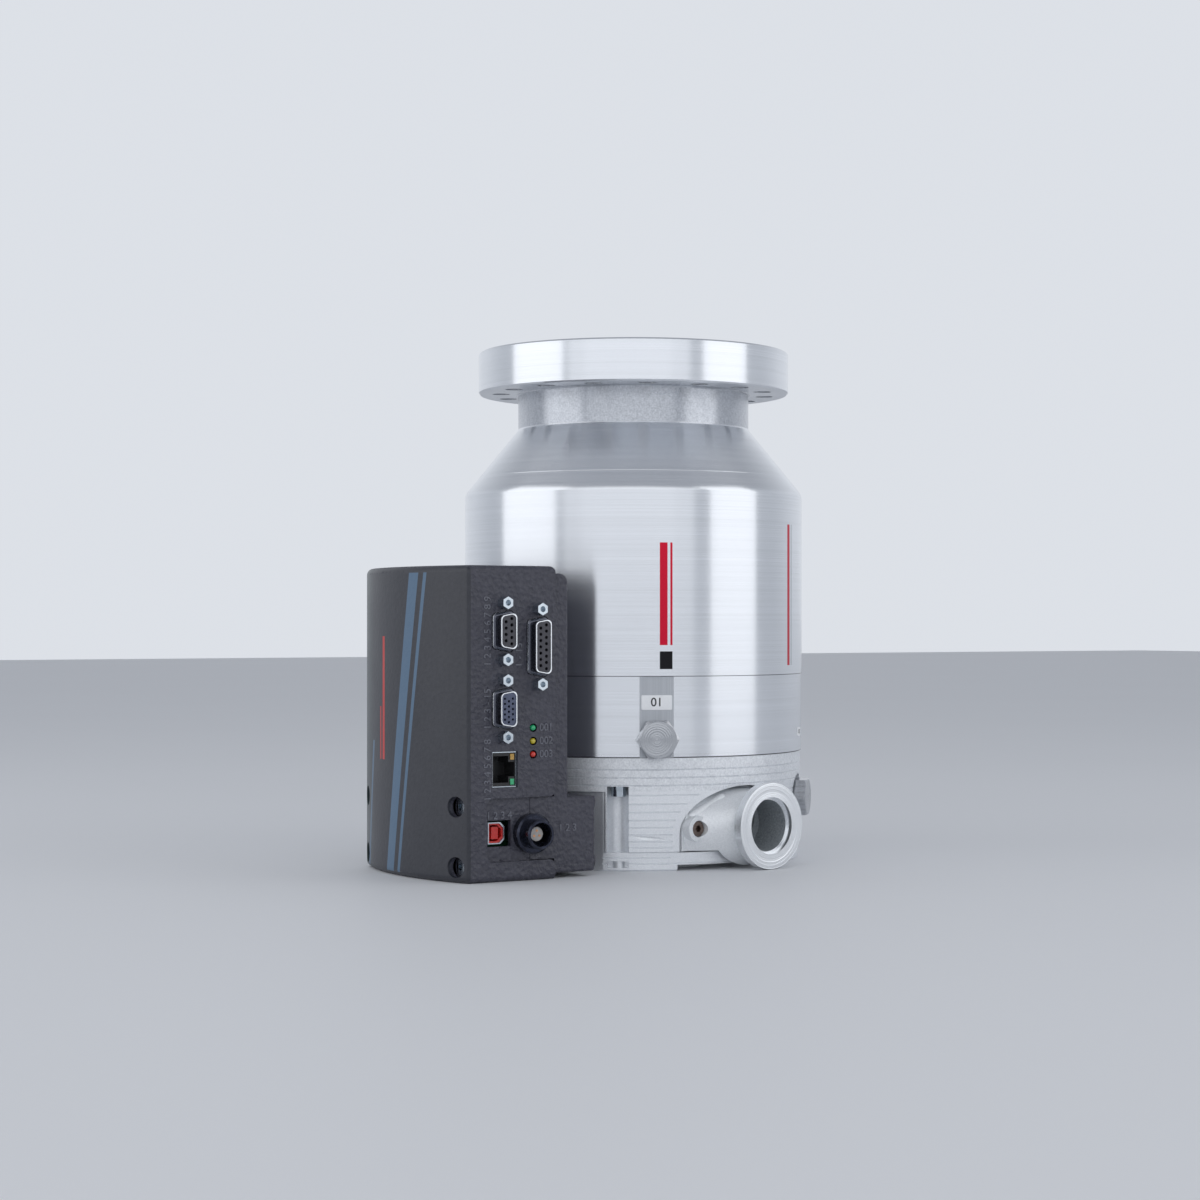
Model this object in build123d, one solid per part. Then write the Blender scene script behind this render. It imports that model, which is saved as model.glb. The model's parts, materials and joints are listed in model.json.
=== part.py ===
from build123d import *

import os
from math import asin, cos, radians, sin, sqrt, tan

# Turbomolecular vacuum pump with its control box. Millimetres.
# The origin is on the rotor axis at the plane the pump stands on. +Z runs up to the inlet
# flange, the control box is on the -X side, and its sockets face -Y.
# An azimuth is measured about Z from -Y towards +X, in degrees.

# ---- clearances ----
slip = 0.1              # radial, between turned pieces that locate in each other
running = 0.05          # radial, between turning pieces and what guides them
screw_play = 0.15       # radial, round a screw in a plain hole
blade_gap = 0.9         # radial, beyond the tip of a rotor blade
groove_play = 0.15      # beside a seal in its groove
press = 0.02            # radial, between pieces pressed or screwed together

# ---- hexagon sockets in screw heads ----
key_radius = 1.7
face_key_radius = 1.8
key_depth = 2.0
panel_gap = 0.2         # round a piece that stands in a hole of the control box

# ---- inlet casing ----
flange_radius = 76.0
flange_height = 20.0
flange_hole_radius = 4.2
flange_hole_circle = 65.1
flange_hole_count = 16
flange_hole_phase = -3.0
gasket_recess_radius = 60.3
gasket_recess_depth = 2.6
knife_edge_radius = 57.7
knife_edge_height = 1.3
knife_edge_width = 1.6
inlet_radius = 51.0
neck_radius = 56.6
neck_height = 17.4
cone_height = 32.0
barrel_radius = 82.65
barrel_wall = 7.15
shoulder_drop = 1.5
shoulder_width = 3.5
shoulder_round = 6.0
neck_low_round = 2.0
neck_high_round = 1.2
flange_edge = 0.8
knife_edge_slant = 0.55

# ---- inlet screen and its seat ----
screen_seat_width = 2.2
screen_seat_depth = 10.0
screen_thickness = 0.6
screen_rim = 3.0
screen_pitch = 6.0
screen_bar = 1.0

# ---- middle casing ring ----
ring_radius = 82.35
ring_height = 37.2
ring_bore = 70.0
spigot_height = 4.0
seal_section = 1.15
vent_azimuth = -24.0
vent_height = 60.8
vent_pad_width = 17.0
plate_height = 77.6
plate_size = (14.2, 6.7, 0.3)
plate_corner = 0.5
purge_plate_size = (8.0, 4.0, 0.2)
purge_plate_height = 61.5

# ---- plugs ----
plug_across_flats = 17.0
plug_head_height = 6.6
plug_thread_radius = 4.8
plug_thread_length = 7.0
plug_face_inset = 0.15
plug_turn = 2.5
washer_height = 0.7
washer_inset = 0.3
washer_play = 0.25
purge_azimuth = 45.0
purge_height = 30.0
purge_spot_radius = 11.2
purge_spot_depth = 2.2

# ---- base housing ----
base_radius = 81.9
base_height = 52.3
base_foot_height = 8.6
base_foot_setback = 1.3
base_foot_edge = 0.8
base_edge = 0.5
groove_depth = 0.45
groove_width = 0.9
ring_groove_heights = (46.7, 43.0, 39.4)
side_groove_heights = (34.9, 30.8, 27.1, 23.4, 20.1, 16.8, 13.6, 10.9)
foot_groove_heights = (6.1, 3.4)
channel_azimuth = -36.5
channel_count = 3
channel_radius = 5.3
channel_centre = 79.9
channel_top = 39.0
channel_lip = 0.3
channel_mouth = 2 * (channel_radius - channel_lip)
facet_azimuth = -62.0
facet_distance = 75.4
window_height = (1.5, 4.6)
window_depth = 3.6
window_post_radius = 2.6
window_post_inset = 0.4
tie_screw_circle = 78.6
tie_screw_radius = 2.0
tie_screw_head_radius = 3.4
tie_screw_head_height = 4.6
tie_screw_grip = 10.0
gas_channel_inner = 46.0
gas_channel_outer = 64.5
gas_channel_floor = 27.0
motor_tube_radius = 43.0
motor_tube_top = 97.0
motor_floor_bore = 10.5
foot_thread_circle = 62.0
foot_thread_radius = 3.0
foot_thread_depth = 12.0
foot_thread_azimuth = 55.0
foot_thread_count = 4

# ---- foreline port ----
port_azimuth = 10.0
port_height = 20.3
port_bore = 12.0
port_recess_radius = 13.1
port_recess_depth = 3.0
port_flange_radius = 20.0
port_flange_rim = 4.0
port_flange_face = 96.6
port_neck_radius = 14.2
port_taper = 15.0
port_seat = 70.0
port_foot_offset = -2.5
port_foot_length = 68.0
port_foot_rise = 21.5
port_foot_middle = 17.0
port_foot_gap = 0.7
port_shelf_cut = 0.2
port_throat_radius = 9.0
port_throat_height = 22.3
port_riser_inset = 3.2
port_throat_depth = 76.0
port_screw_reach = 27.1
port_screw_height = 19.4
port_boss_radius = 6.0
port_lip_rise = 2.8
port_web_depth = 52.0
port_band = 3.0
port_seal_circle = 10.7
port_seal_section = 0.9
port_rib_radius = 2.6
port_rib_ends = ((-29.5, 25.0, 74.2), (-15.0, 32.6, 78.4))
port_foot_plate = 4.0
port_head_seat = 74.5
port_head_height = 4.0
port_head_play = 0.4
port_screw_grip = 9.0
port_boss_setback = 3.0
port_loft_over = 0.6

# ---- rotor stack ----
shaft_radius = 13.0
shaft_foot_radius = 8.0
shaft_journal_radius = 5.0
shaft_foot_rise = 4.0
shaft_socket_room = 1.5
hub_radius = 40.0
hub_wall = 4.0
rotor_tip_radius = 66.5
stage_count = 7
stage_pitch = 9.0
inlet_room = 14.6
hub_rim = 1.0
rotor_blade_height = 4.4
hub_edge = 2.0
hub_core_wall = 9.0
hub_crown = 8.0
blade_root = 1.5
stator_blade_height = 3.0
top_blade_height = 7.0
rotor_blade_counts = (24, 28, 32, 36, 36, 36, 36)
rotor_blade_angles = (42.0, 38.0, 34.0, 30.0, 26.0, 24.0, 22.0)
stator_blade_count = 30
blade_thickness = 1.0
stator_blade_angle = 38.0
stator_rim_height = 1.5
stator_blade_seat = 1.0
spacer_wall = 4.6
stator_hub_gap = 1.2
stator_hub_width = 1.8

# ---- drag stage ----
drum_radius = 62.0
drum_wall = 2.4
drum_top_thickness = 6.0
drum_bottom = 60.0
drag_gap = 0.4
drag_stator_flange = 3.5
drag_stator_bottom = 57.0
drag_groove_count = 14
drag_groove_width = 6.0
drag_groove_depth = 3.5
drag_groove_angle = 68.0

# ---- magnet bearing at the inlet ----
spider_ring_height = 3.5
spider_arm_count = 3
spider_arm_azimuth = 20.0
spider_arm_taper = 4.25
spider_arm_width = 5.0
spider_arm_height = 6.0
spider_hub_radius = 13.5
spider_pin_radius = 6.0
spider_pin_tip_radius = 4.0
spider_pin_tip_length = 6.0
rotor_gap = 1.4
magnet_count = 5
magnet_height = 4.0
magnet_stator_outer = 11.6
magnet_rotor_inner = 12.2
magnet_rotor_outer = 17.0
backup_race_outer = 8.0
backup_race_height = 4.0
backup_race_gap = 0.3
backup_race_rise = 0.5

# ---- motor ----
motor_stator_outer = 32.0
motor_stator_inner = 18.5
motor_magnet_radius = 17.6
motor_bottom = 42.0
motor_length = 34.0
winding_height = 7.0
winding_wall = 9.0
winding_setback = 1.5
motor_slot = (3.2, 1.5, 9.5)
motor_slot_count = 12
motor_chamber_bottom = 31.0

# ---- ball bearing at the bottom ----
bearing_bottom = 14.0
bearing_width = 8.0
bearing_outer_radius = 13.0
bearing_race_wall = 2.6
ball_radius = 2.38
ball_count = 9
cage_wall = 1.2
cage_height = 6.4
holder_radius = 18.6
holder_lip = 2.0
holder_hold = 1.6
damper_section = 1.4
damper_count = 2
shaft_nut_radius = 8.0
shaft_nut_height = 3.0
nut_slot = (2.4, 1.5)
nut_slot_count = 4

# ---- bottom cover ----
cover_radius = 46.0
cover_height = 6.0
cover_setback = 0.8
cover_screw_circle = 39.0
cover_screw_count = 6
cover_screw_seat = 1.4
cover_screw_head = 3.6
cover_screw_grip = 11.0
cover_room = (4.0, 2.0)
cover_boss_width = 3.0

# ---- control box ----
panel_offset = 78.2
far_side_offset = 20.0
front_arc_radius = 130.4
front_arc_centre = (-12.9, -26.0)
box_height = 139.5
box_wall = 2.6
box_round = 3.5
box_corner_round = 1.6
box_edge_round = 3.0
column_radius = 4.9
column_floor = 76.0
cover_rear = 88.6
rear_round = 1.5
rear_top_round = 4.0
box_rear_round = 2.4
rear_inset = 1.7
rear_top = 136.3
rear_bottom = 2.4
rear_face = 81.0
casing_clearance = 0.6
low_rear_face = 67.0
low_rear_top = 36.1
shelf_clearance = 0.5
recess_left = 123.0
recess_bottom = 8.9
recess_top = 37.0
recess_corner_round = 3.0
tongue_left = 100.9
seam = 0.25
face_screw_heights = (33.5, 7.0)
face_screw_angles = (20.4, -17.6)
face_screw_recess_radius = 4.6
face_screw_recess_depth = 6.0
face_screw_head_radius = 3.5
face_screw_head_height = 3.6
face_screw_radius = 2.0

# ---- sockets on the panel ----
nine_pin_place = (115.2, 110.5)
fifteen_pin_place = (97.8, 103.6)
dense_pin_place = (115.2, 76.4)
small_shell_length = 16.3
large_shell_length = 24.6
shell_width = 7.9
shell_wall = 0.45
shell_reach = 5.9
shell_slant = 10.0
shell_round = 2.0
shell_flare = 1.6
flare_height = 2.2
flare_inset = 0.25
flare_round = 1.2
socket_flange = (12.4, 6.0)
socket_body_depth = 6.0
insert_setback = 0.3
post_hole_radius = 2.0
small_post_spacing = 25.0
large_post_spacing = 33.3
post_across_flats = 4.8
post_reach = 5.0
post_bore = 1.3
post_stem_radius = 1.45
post_stem_length = 4.5
post_bore_depth = 4.0
pin_hole_radius = 0.75
dense_pin_hole_radius = 0.56
pin_hole_depth = 6.0
pin_pitch = 2.77
pin_row_pitch = 2.84
dense_pitch = 2.29
dense_row_pitch = 1.98
lamp_place = 99.9
lamp_heights = (67.7, 61.8, 55.9)
lamp_radius = 1.3
lamp_recess_radius = 1.9
lamp_setback = 0.6
lamp_length = 6.3
network_place = (114.1, 49.6)
network_size = (12.4, 15.6, 14.0)
network_opening = (7.6, 11.8)
network_sink = 1.0
network_shift = 1.0
network_wall = 0.4
network_lining = 0.6
network_floor = 4.0
network_latch = (5.0, 6.4)
network_lamp_size = (1.9, 2.6, 4.0)
network_lamp_inset = (1.6, 1.9, 0.2)
usb_place = (116.4, 21.4)
usb_opening = (12.0, 11.6)
usb_size = (8.2, 9.6)
usb_wall = 0.5
usb_bevel = 2.0
usb_tongue = (3.4, 5.4)
usb_sink = 4.2
usb_lining = 0.7
usb_lining_setback = 0.8
usb_floor = 2.0
usb_tongue_setback = 1.4
power_place = (100.4, 20.9)
power_base_radius = 8.9
power_base_reach = 4.5
power_ring_radius = 6.6
power_ring_reach = 10.0
power_ring_bore = 5.3
power_insert_radius = 3.1
power_insert_reach = 7.9
power_insert_depth = 4.0
power_pin_radius = 0.5
power_pin_circle = 1.5
power_pin_reach = 0.2
power_pin_depth = 1.5
power_edges = (0.8, 0.5)
power_body_depth = 9.0
power_nut_radius = 7.5
power_nut_height = 2.5

# ---- inside the control box ----
board_thickness = 1.6
board_stand = 11.0
main_board_span = (91.0, 124.0)
main_board_height = 124.0
main_board_post_places = (92.5, 121.5)
main_board_post_heights = (130.0, 39.5)
power_board_offset = 94.0
power_board_span = (-58.0, 7.0)
power_board_height = 120.0
power_board_post_places = (-52.0, 2.0)
power_board_post_heights = (45.0, 124.0)
capacitor_size = (9.0, 24.0)
capacitor_y = -10.0
capacitor_heights = (60.0, 82.0, 104.0)
board_post_radius = 2.4
feedthrough_radius = 10.0
feedthrough_place = (-9.0, 18.0)
feedthrough_depth = 8.0
feedthrough_reach = 8.0
feedthrough_pins = (6, 5.0, 0.7, 8.0)
mount_screw_places = ((-28.0, 21.0), (10.0, 21.0))
mount_screw_head_radius = 3.5
mount_screw_head_height = 4.0
mount_screw_radius = 2.0
mount_screw_length = 14.0

# ---- heights and depths that follow ----
usb_depth = board_stand + box_wall + rear_inset - usb_sink
ring_top = base_height + ring_height
casing_bore = barrel_radius - barrel_wall
spigot_radius = casing_bore - slip
stack_bottom = ring_top + spigot_height + drag_stator_flange
stack_outer = casing_bore - slip
stack_inner = stack_outer - spacer_wall
spider_bottom = stack_bottom + stage_count * stage_pitch + inlet_room
bore_shoulder = spider_bottom + spider_ring_height
barrel_top = bore_shoulder - shoulder_drop
neck_bottom = barrel_top + cone_height
flange_bottom = neck_bottom + neck_height
inlet_top = flange_bottom + flange_height
rotor_top = spider_bottom - rotor_gap
top_row_bottom = rotor_top - hub_rim - top_blade_height
row_gap = stage_pitch - rotor_blade_height
row_tops = [top_row_bottom - row_gap - k * stage_pitch for k in range(stage_count - 1)]
stator_middles = [top_row_bottom - row_gap / 2 - k * stage_pitch for k in range(stage_count - 1)]
hub_bottom = row_tops[-1] - rotor_blade_height - hub_rim
plate_bottom = hub_bottom - drum_top_thickness
magnet_top = rotor_top - hub_rim
magnet_floor = magnet_top - magnet_count * magnet_height - hub_rim
pin_tip = magnet_floor - spider_pin_tip_length + backup_race_height / 2
channel_azimuths = [channel_azimuth + k * 360 / channel_count for k in range(channel_count)]


def tube(outer, inner, low, high):
    return rod(outer, low, high) - rod(inner, low - 1, high + 1)


def rod(radius, low, high):
    return Pos(0, 0, (low + high) / 2) * Cylinder(radius, high - low)


def turned(points):
    """Solid of revolution about Z from (radius, height) points."""
    outline = make_face(Polyline([(r, 0, z) for r, z in points], close=True))
    return revolve(outline, Axis.Z)


def outward(azimuth, height=0.0):
    """Frame on the axis: local X to the right, Y up, Z out along the azimuth."""
    a = radians(azimuth)
    return Plane((0, 0, height), x_dir=(cos(a), sin(a), 0), z_dir=(sin(a), -cos(a), 0)).location


def round_rims(part, radius, height, size):
    """Rounds the circular edges of that radius at that height."""
    rims = part.edges().filter_by(GeomType.CIRCLE).filter_by(
        lambda e: abs(e.radius - radius) < 0.01 and abs(e.arc_center.Z - height) < 0.01
    )
    return fillet(rims, size)


def around(shape, count, start=0.0):
    return [Rot(0, 0, start + k * 360 / count) * shape for k in range(count)]


def group(solids):
    return Compound(children=[s for part in solids for s in part.solids()])


def capsule(start, end, radius):
    """Round bar with domed ends between two points."""
    run = Vector(*end) - Vector(*start)
    bar = extrude(Plane(start, z_dir=run) * Circle(radius), run.length)
    return bar + Pos(*start) * Sphere(radius) + Pos(*end) * Sphere(radius)


def hexagon(across_flats, height, turn=0.0):
    side_radius = across_flats / 2 / cos(radians(30))
    return extrude(Rot(0, 0, turn) * RegularPolygon(side_radius, 6), height)


# ---------------------------------------------------------------- casings
def tie_screw_holes(radius, low, high):
    bit = Pos(0, -tie_screw_circle, (low + high) / 2) * Cylinder(radius, high - low)
    return [Rot(0, 0, a) * bit for a in channel_azimuths]


def inlet_casing():
    recess_floor = inlet_top - gasket_recess_depth
    knife_tip = recess_floor + knife_edge_height
    seat = inlet_top - screen_seat_depth
    seat_radius = inlet_radius + screen_seat_width
    slope = (barrel_radius - neck_radius) / cone_height
    bore_high = bore_shoulder + (casing_bore - shoulder_width - inlet_radius) / slope
    part = turned([
        (casing_bore, ring_top), (barrel_radius, ring_top), (barrel_radius, barrel_top),
        (neck_radius, neck_bottom), (neck_radius, flange_bottom),
        (flange_radius, flange_bottom), (flange_radius, inlet_top),
        (gasket_recess_radius, inlet_top), (gasket_recess_radius, recess_floor),
        (knife_edge_radius + knife_edge_slant, recess_floor), (knife_edge_radius, knife_tip),
        (knife_edge_radius - knife_edge_width, recess_floor), (seat_radius, recess_floor),
        (seat_radius, seat), (inlet_radius, seat), (inlet_radius, bore_high),
        (casing_bore - shoulder_width, bore_shoulder), (casing_bore, bore_shoulder),
    ])
    part = round_rims(part, barrel_radius, barrel_top, shoulder_round)
    part = round_rims(part, neck_radius, neck_bottom, neck_low_round)
    part = round_rims(part, neck_radius, flange_bottom, neck_high_round)
    rims = part.edges().filter_by(GeomType.CIRCLE).filter_by(
        lambda e: abs(e.radius - flange_radius) < 0.01
    )
    part = chamfer(rims, flange_edge)
    bit = Pos(0, -flange_hole_circle, flange_bottom + flange_height / 2) * Cylinder(
        flange_hole_radius, flange_height + 2)
    part -= around(bit, flange_hole_count, flange_hole_phase)
    return part - tie_screw_holes(tie_screw_radius, ring_top - 1, ring_top + tie_screw_grip + 1)


def inlet_screen():
    radius = inlet_radius + screen_seat_width - slip
    seat = inlet_top - screen_seat_depth
    mesh_radius = radius - screen_rim
    across = screen_pitch - screen_bar
    columns = 2 * int(mesh_radius / screen_pitch) + 1
    cells = [
        loc * RegularPolygon(across / 2, 6, major_radius=False, rotation=30)
        for loc in HexLocations(screen_pitch / 2, columns, columns, major_radius=False)
        if loc.position.length < mesh_radius - screen_pitch / 2
    ]
    return Pos(0, 0, seat) * extrude(Circle(radius) - cells, screen_thickness)


def ring_profile():
    """Middle ring with a spigot at each end and a groove for the seal in each spigot."""
    low, high = base_height, ring_top
    groove_floor = spigot_radius - 2 * seal_section - 2 * press
    half = seal_section + groove_play
    top_mid, low_mid = high + spigot_height / 2, low - spigot_height / 2
    return [
        (ring_bore, low - spigot_height), (spigot_radius, low - spigot_height),
        (spigot_radius, low_mid - half), (groove_floor, low_mid - half),
        (groove_floor, low_mid + half), (spigot_radius, low_mid + half), (spigot_radius, low),
        (ring_radius, low), (ring_radius, high), (spigot_radius, high),
        (spigot_radius, top_mid - half), (groove_floor, top_mid - half),
        (groove_floor, top_mid + half), (spigot_radius, top_mid + half),
        (spigot_radius, high + spigot_height), (ring_bore, high + spigot_height),
    ]


vent_pad = sqrt(ring_radius ** 2 - (vent_pad_width / 2) ** 2)


def casing_ring():
    part = turned(ring_profile())
    mill = extrude(Rectangle(2 * ring_radius, 4 * ring_height), 10)
    part -= outward(vent_azimuth, vent_height) * Pos(0, 0, vent_pad) * mill
    bit = Pos(0, 0, ring_radius - 5) * Cylinder(plug_thread_radius + running, 30)
    part -= outward(vent_azimuth, vent_height) * bit
    low, high = base_height - 1, ring_top + 1
    return part - tie_screw_holes(tie_screw_radius + screw_play, low, high)


def casing_seals():
    middle = spigot_radius - seal_section
    seal = Torus(middle, seal_section - press)
    heights = (base_height - spigot_height / 2, ring_top + spigot_height / 2)
    return group([Pos(0, 0, z) * seal for z in heights])


def tie_screws():
    high = ring_top + tie_screw_grip
    shank = rod(tie_screw_radius - press, channel_top, high)
    head = rod(tie_screw_head_radius, channel_top - tie_screw_head_height, channel_top)
    socket = extrude(RegularPolygon(key_radius, 6), key_depth)
    screw = shank + head - Pos(0, 0, channel_top - tie_screw_head_height) * socket
    return group([Rot(0, 0, a) * Pos(0, -tie_screw_circle, 0) * screw for a in channel_azimuths])


# ---------------------------------------------------------------- base housing
base_top_flat = low_rear_top + shelf_clearance
base_flat = low_rear_face - seam


def port_outline(gap=0.0):
    """The port's foot, seen along its axis: half an ellipse over straight sides."""
    half = port_foot_length / 2 - gap
    low = base_foot_height - port_shelf_cut + gap
    upper = Pos(0, half) * Rectangle(2 * half, 2 * half)
    arch = Pos(0, port_foot_middle) * (Ellipse(half, port_foot_rise - gap) & upper)
    sides = Pos(0, (low + port_foot_middle) / 2) * Rectangle(2 * half, port_foot_middle - low)
    return Pos(port_foot_offset, 0) * (arch + sides)


def groove(z, radius):
    over = 0.5
    half = groove_width / 2 * (groove_depth + over) / groove_depth
    return turned([(radius - groove_depth, z), (radius + over, z - half), (radius + over, z + half)])


def groove_cutter():
    foot_radius = base_radius - base_foot_setback
    lower = [groove(z, base_radius) for z in side_groove_heights]
    lower += [groove(z, foot_radius) for z in foot_groove_heights]
    smooth_band = outward(port_azimuth) * extrude(port_outline(-port_band), 2 * base_radius)
    rings = [groove(z, base_radius) for z in ring_groove_heights]
    return (Part() + lower - smooth_band) + rings


def base_blank():
    foot_radius = base_radius - base_foot_setback
    return turned([
        (0, 0), (foot_radius - base_foot_edge, 0), (foot_radius, base_foot_edge),
        (foot_radius, base_foot_height), (base_radius - base_edge, base_foot_height),
        (base_radius, base_foot_height + base_edge), (base_radius, base_height), (0, base_height),
    ])


def base_channels():
    """Upright channels that give a key its way to the tie screws."""
    height = channel_top - base_foot_height
    middle = (base_foot_height + channel_top) / 2
    slot = Pos(0, -channel_centre, middle) * Cylinder(channel_radius, height)
    mouth = Pos(0, -channel_centre - channel_radius, middle) * Box(
        channel_mouth, 2 * channel_radius, height)
    low, high = window_height
    foot_face = base_radius - base_foot_setback
    window = Pos(0, -foot_face, (low + high) / 2) * Box(
        channel_mouth, 2 * window_depth, high - low)
    post = Pos(0, -foot_face + window_post_radius + window_post_inset, (low + high) / 2) * Cylinder(
        window_post_radius, high - low)
    cuts = [slot, mouth, window - post]
    return [Rot(0, 0, a) * cut for a in channel_azimuths for cut in cuts]


def control_box_seat():
    """Flat and facet on the base, below its shelf, that the control box stands against."""
    height = base_top_flat + 2
    middle = base_top_flat / 2 - 1
    flat = Pos(-base_flat - base_radius / 2, 0, middle) * Box(base_radius, 4 * base_radius, height)
    lean = radians(channel_azimuth - facet_azimuth) - asin(channel_radius / channel_centre)
    reach = facet_distance * tan(lean)
    facet = Pos(0, -facet_distance - 10, middle) * Box(2 * reach, 20, height)
    return [flat, Rot(0, 0, facet_azimuth) * facet]


def along_x(radius, x_from, x_to, y, z):
    return Pos((x_from + x_to) / 2, y, z) * Rot(0, 90, 0) * Cylinder(radius, abs(x_to - x_from))


def port_screw_axes():
    return [outward(port_azimuth) * Pos(port_foot_offset + x, port_screw_height, port_seat)
            for x in (-port_screw_reach, port_screw_reach)]


def base_housing():
    part = base_blank() - base_channels() - control_box_seat()
    part -= tie_screw_holes(tie_screw_radius + screw_play, channel_top - 1, base_height + 1)
    # seat of the foreline port, the raised lip under it, and the passage behind it
    port = outward(port_azimuth)
    part -= port * Pos(0, 0, port_seat) * extrude(port_outline(), base_radius)
    part -= port * Pos(port_foot_offset, 0, port_seat + 20) * Box(
        port_foot_length, 2 * port_lip_rise, 60)
    part -= port * Pos(0, port_throat_height, (port_seat + port_web_depth) / 2) * Cylinder(
        port_throat_radius, port_seat - port_web_depth + 1)
    part -= Rot(0, 0, port_azimuth) * Pos(0, -port_web_depth - port_riser_inset, 0) * rod(
        port_throat_radius, port_throat_height - port_throat_radius, gas_channel_floor + 1)
    part -= [axis * rod(tie_screw_radius, -port_screw_grip - 1, 1) for axis in port_screw_axes()]
    # spigot bore, gas channel and motor tube
    part -= rod(spigot_radius + slip, base_height - spigot_height - slip, base_height + 1)
    part -= tube(gas_channel_outer, gas_channel_inner, gas_channel_floor, base_height)
    part += rod(motor_tube_radius, motor_chamber_bottom, motor_tube_top)
    part -= rod(motor_stator_outer, motor_chamber_bottom, motor_tube_top + 1)
    part -= rod(motor_floor_bore, 0, motor_chamber_bottom + 1)
    part -= rod(holder_radius + 2 * damper_section + slip, -1, holder_top + slip)
    # bottom cover seat, its screw holes and the threads for feet
    part -= rod(cover_radius + slip, -1, cover_height)
    bit = Pos(0, -cover_screw_circle, 0) * rod(
        tie_screw_radius, cover_height - 1, cover_height + cover_screw_grip)
    part -= around(bit, cover_screw_count)
    foot = Pos(0, -foot_thread_circle, 0) * Cylinder(foot_thread_radius, 2 * foot_thread_depth)
    part -= around(foot, foot_thread_count, foot_thread_azimuth)
    # purge hole and its spot face
    purge = outward(purge_azimuth, purge_height)
    spot = base_radius - purge_spot_depth
    part -= purge * Pos(0, 0, spot + 10) * Cylinder(purge_spot_radius, 20)
    part -= purge * Pos(0, 0, base_radius - 6) * Cylinder(plug_thread_radius + running, 30)
    # holes in the flat for the control box
    for y, z in mount_screw_places:
        part -= along_x(mount_screw_radius, -base_flat - 1, -base_flat + mount_screw_length, y, z)
    y, z = feedthrough_place
    part -= along_x(feedthrough_radius + slip, -base_flat - 1, -base_flat + feedthrough_depth, y, z)
    return part - groove_cutter()


def foreline_port():
    inner = port_seat
    neck_start = port_flange_face - port_flange_rim - (
        port_flange_radius - port_neck_radius) * tan(radians(port_taper))
    flange = Pos(0, port_height) * revolve(make_face(Polyline([
        (0, 0, inner + 2), (port_neck_radius, 0, inner + 2), (port_neck_radius, 0, neck_start),
        (port_flange_radius, 0, port_flange_face - port_flange_rim),
        (port_flange_radius, 0, port_flange_face), (0, 0, port_flange_face)], close=True)), Axis.Z)
    foot_top = port_seat + port_foot_plate
    foot = Pos(0, 0, inner) * extrude(port_outline(port_foot_gap), foot_top - inner)
    start = Pos(port_foot_offset, port_foot_middle, foot_top - 1) * Ellipse(
        port_foot_length / 2 - port_foot_gap, port_foot_rise - port_foot_gap)
    end = Pos(0, port_height, neck_start - 1) * Circle(port_neck_radius + port_loft_over)
    half_groove = port_seal_section + groove_play
    rib = capsule(port_rib_ends[0], port_rib_ends[1], port_rib_radius)
    part = flange + foot + loft([start, end]) + rib
    x = port_foot_offset - port_screw_reach
    part += Pos(x, port_screw_height, 0) * rod(
        port_boss_radius, inner, base_radius - port_boss_setback)
    low_side = base_foot_height - port_shelf_cut + port_foot_gap
    below = Pos(0, low_side - 30, 0) * Box(4 * base_radius, 60, 2 * (base_radius + 0.5))
    part -= below
    part -= Pos(0, port_height, 0) * rod(port_bore, port_throat_depth, port_flange_face + 1)
    part -= Pos(0, port_throat_height, 0) * rod(port_throat_radius, inner - 1, port_throat_depth + 1)
    part -= Pos(0, port_height, port_flange_face) * Cylinder(port_recess_radius, 2 * port_recess_depth)
    part -= Pos(0, port_throat_height, 0) * tube(
        port_seal_circle + half_groove, port_seal_circle - half_groove, inner - 1,
        inner + 2 * port_seal_section)
    for side in (-1, 1):
        place = Pos(port_foot_offset + side * port_screw_reach, port_screw_height, 0)
        part -= place * rod(tie_screw_radius + screw_play, inner - 1, base_radius)
        part -= place * rod(tie_screw_head_radius + port_head_play, port_head_seat, base_radius + 10)
    return outward(port_azimuth) * part


def port_screws():
    shank = rod(tie_screw_radius - press, port_seat - port_screw_grip, port_head_seat)
    head_top = port_head_seat + port_head_height
    head = rod(tie_screw_head_radius, port_head_seat, head_top)
    socket = Pos(0, 0, head_top - key_depth) * extrude(RegularPolygon(key_radius, 6), key_depth)
    screw = Pos(0, 0, -port_seat) * (shank + head - socket)
    return group([axis * screw for axis in port_screw_axes()])


def port_seal():
    seal = Torus(port_seal_circle, port_seal_section - press)
    return outward(port_azimuth) * Pos(0, port_throat_height, port_seat + port_seal_section) * seal


# ---------------------------------------------------------------- plugs and plates
def plug(seat):
    """Hexagon plug whose head stands on a washer at that distance from the axis."""
    under = seat + washer_height
    head = Pos(0, 0, under) * hexagon(plug_across_flats, plug_head_height, plug_turn)
    corner = plug_across_flats / 2 / cos(radians(30))
    face = plug_across_flats / 2 - plug_face_inset
    top = under + plug_head_height
    crown = revolve(make_face(Polyline([
        (0, 0, under - 1), (corner + 1, 0, under - 1),
        (corner + 1, 0, top - (corner + 1 - face) * tan(radians(30))),
        (face, 0, top), (0, 0, top)], close=True)), Axis.Z)
    thread = Pos(0, 0, under - plug_thread_length / 2) * Cylinder(
        plug_thread_radius, plug_thread_length)
    return (head & crown) + thread


def washer(seat):
    return tube(plug_across_flats / 2 - washer_inset, plug_thread_radius + washer_play,
                seat, seat + washer_height)


def vent_plug():
    return outward(vent_azimuth, vent_height) * plug(vent_pad)


def purge_plug():
    return outward(purge_azimuth, purge_height) * plug(base_radius - purge_spot_depth)


def plug_washers():
    return group([outward(vent_azimuth, vent_height) * washer(vent_pad),
                  outward(purge_azimuth, purge_height) * washer(base_radius - purge_spot_depth)])


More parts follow.
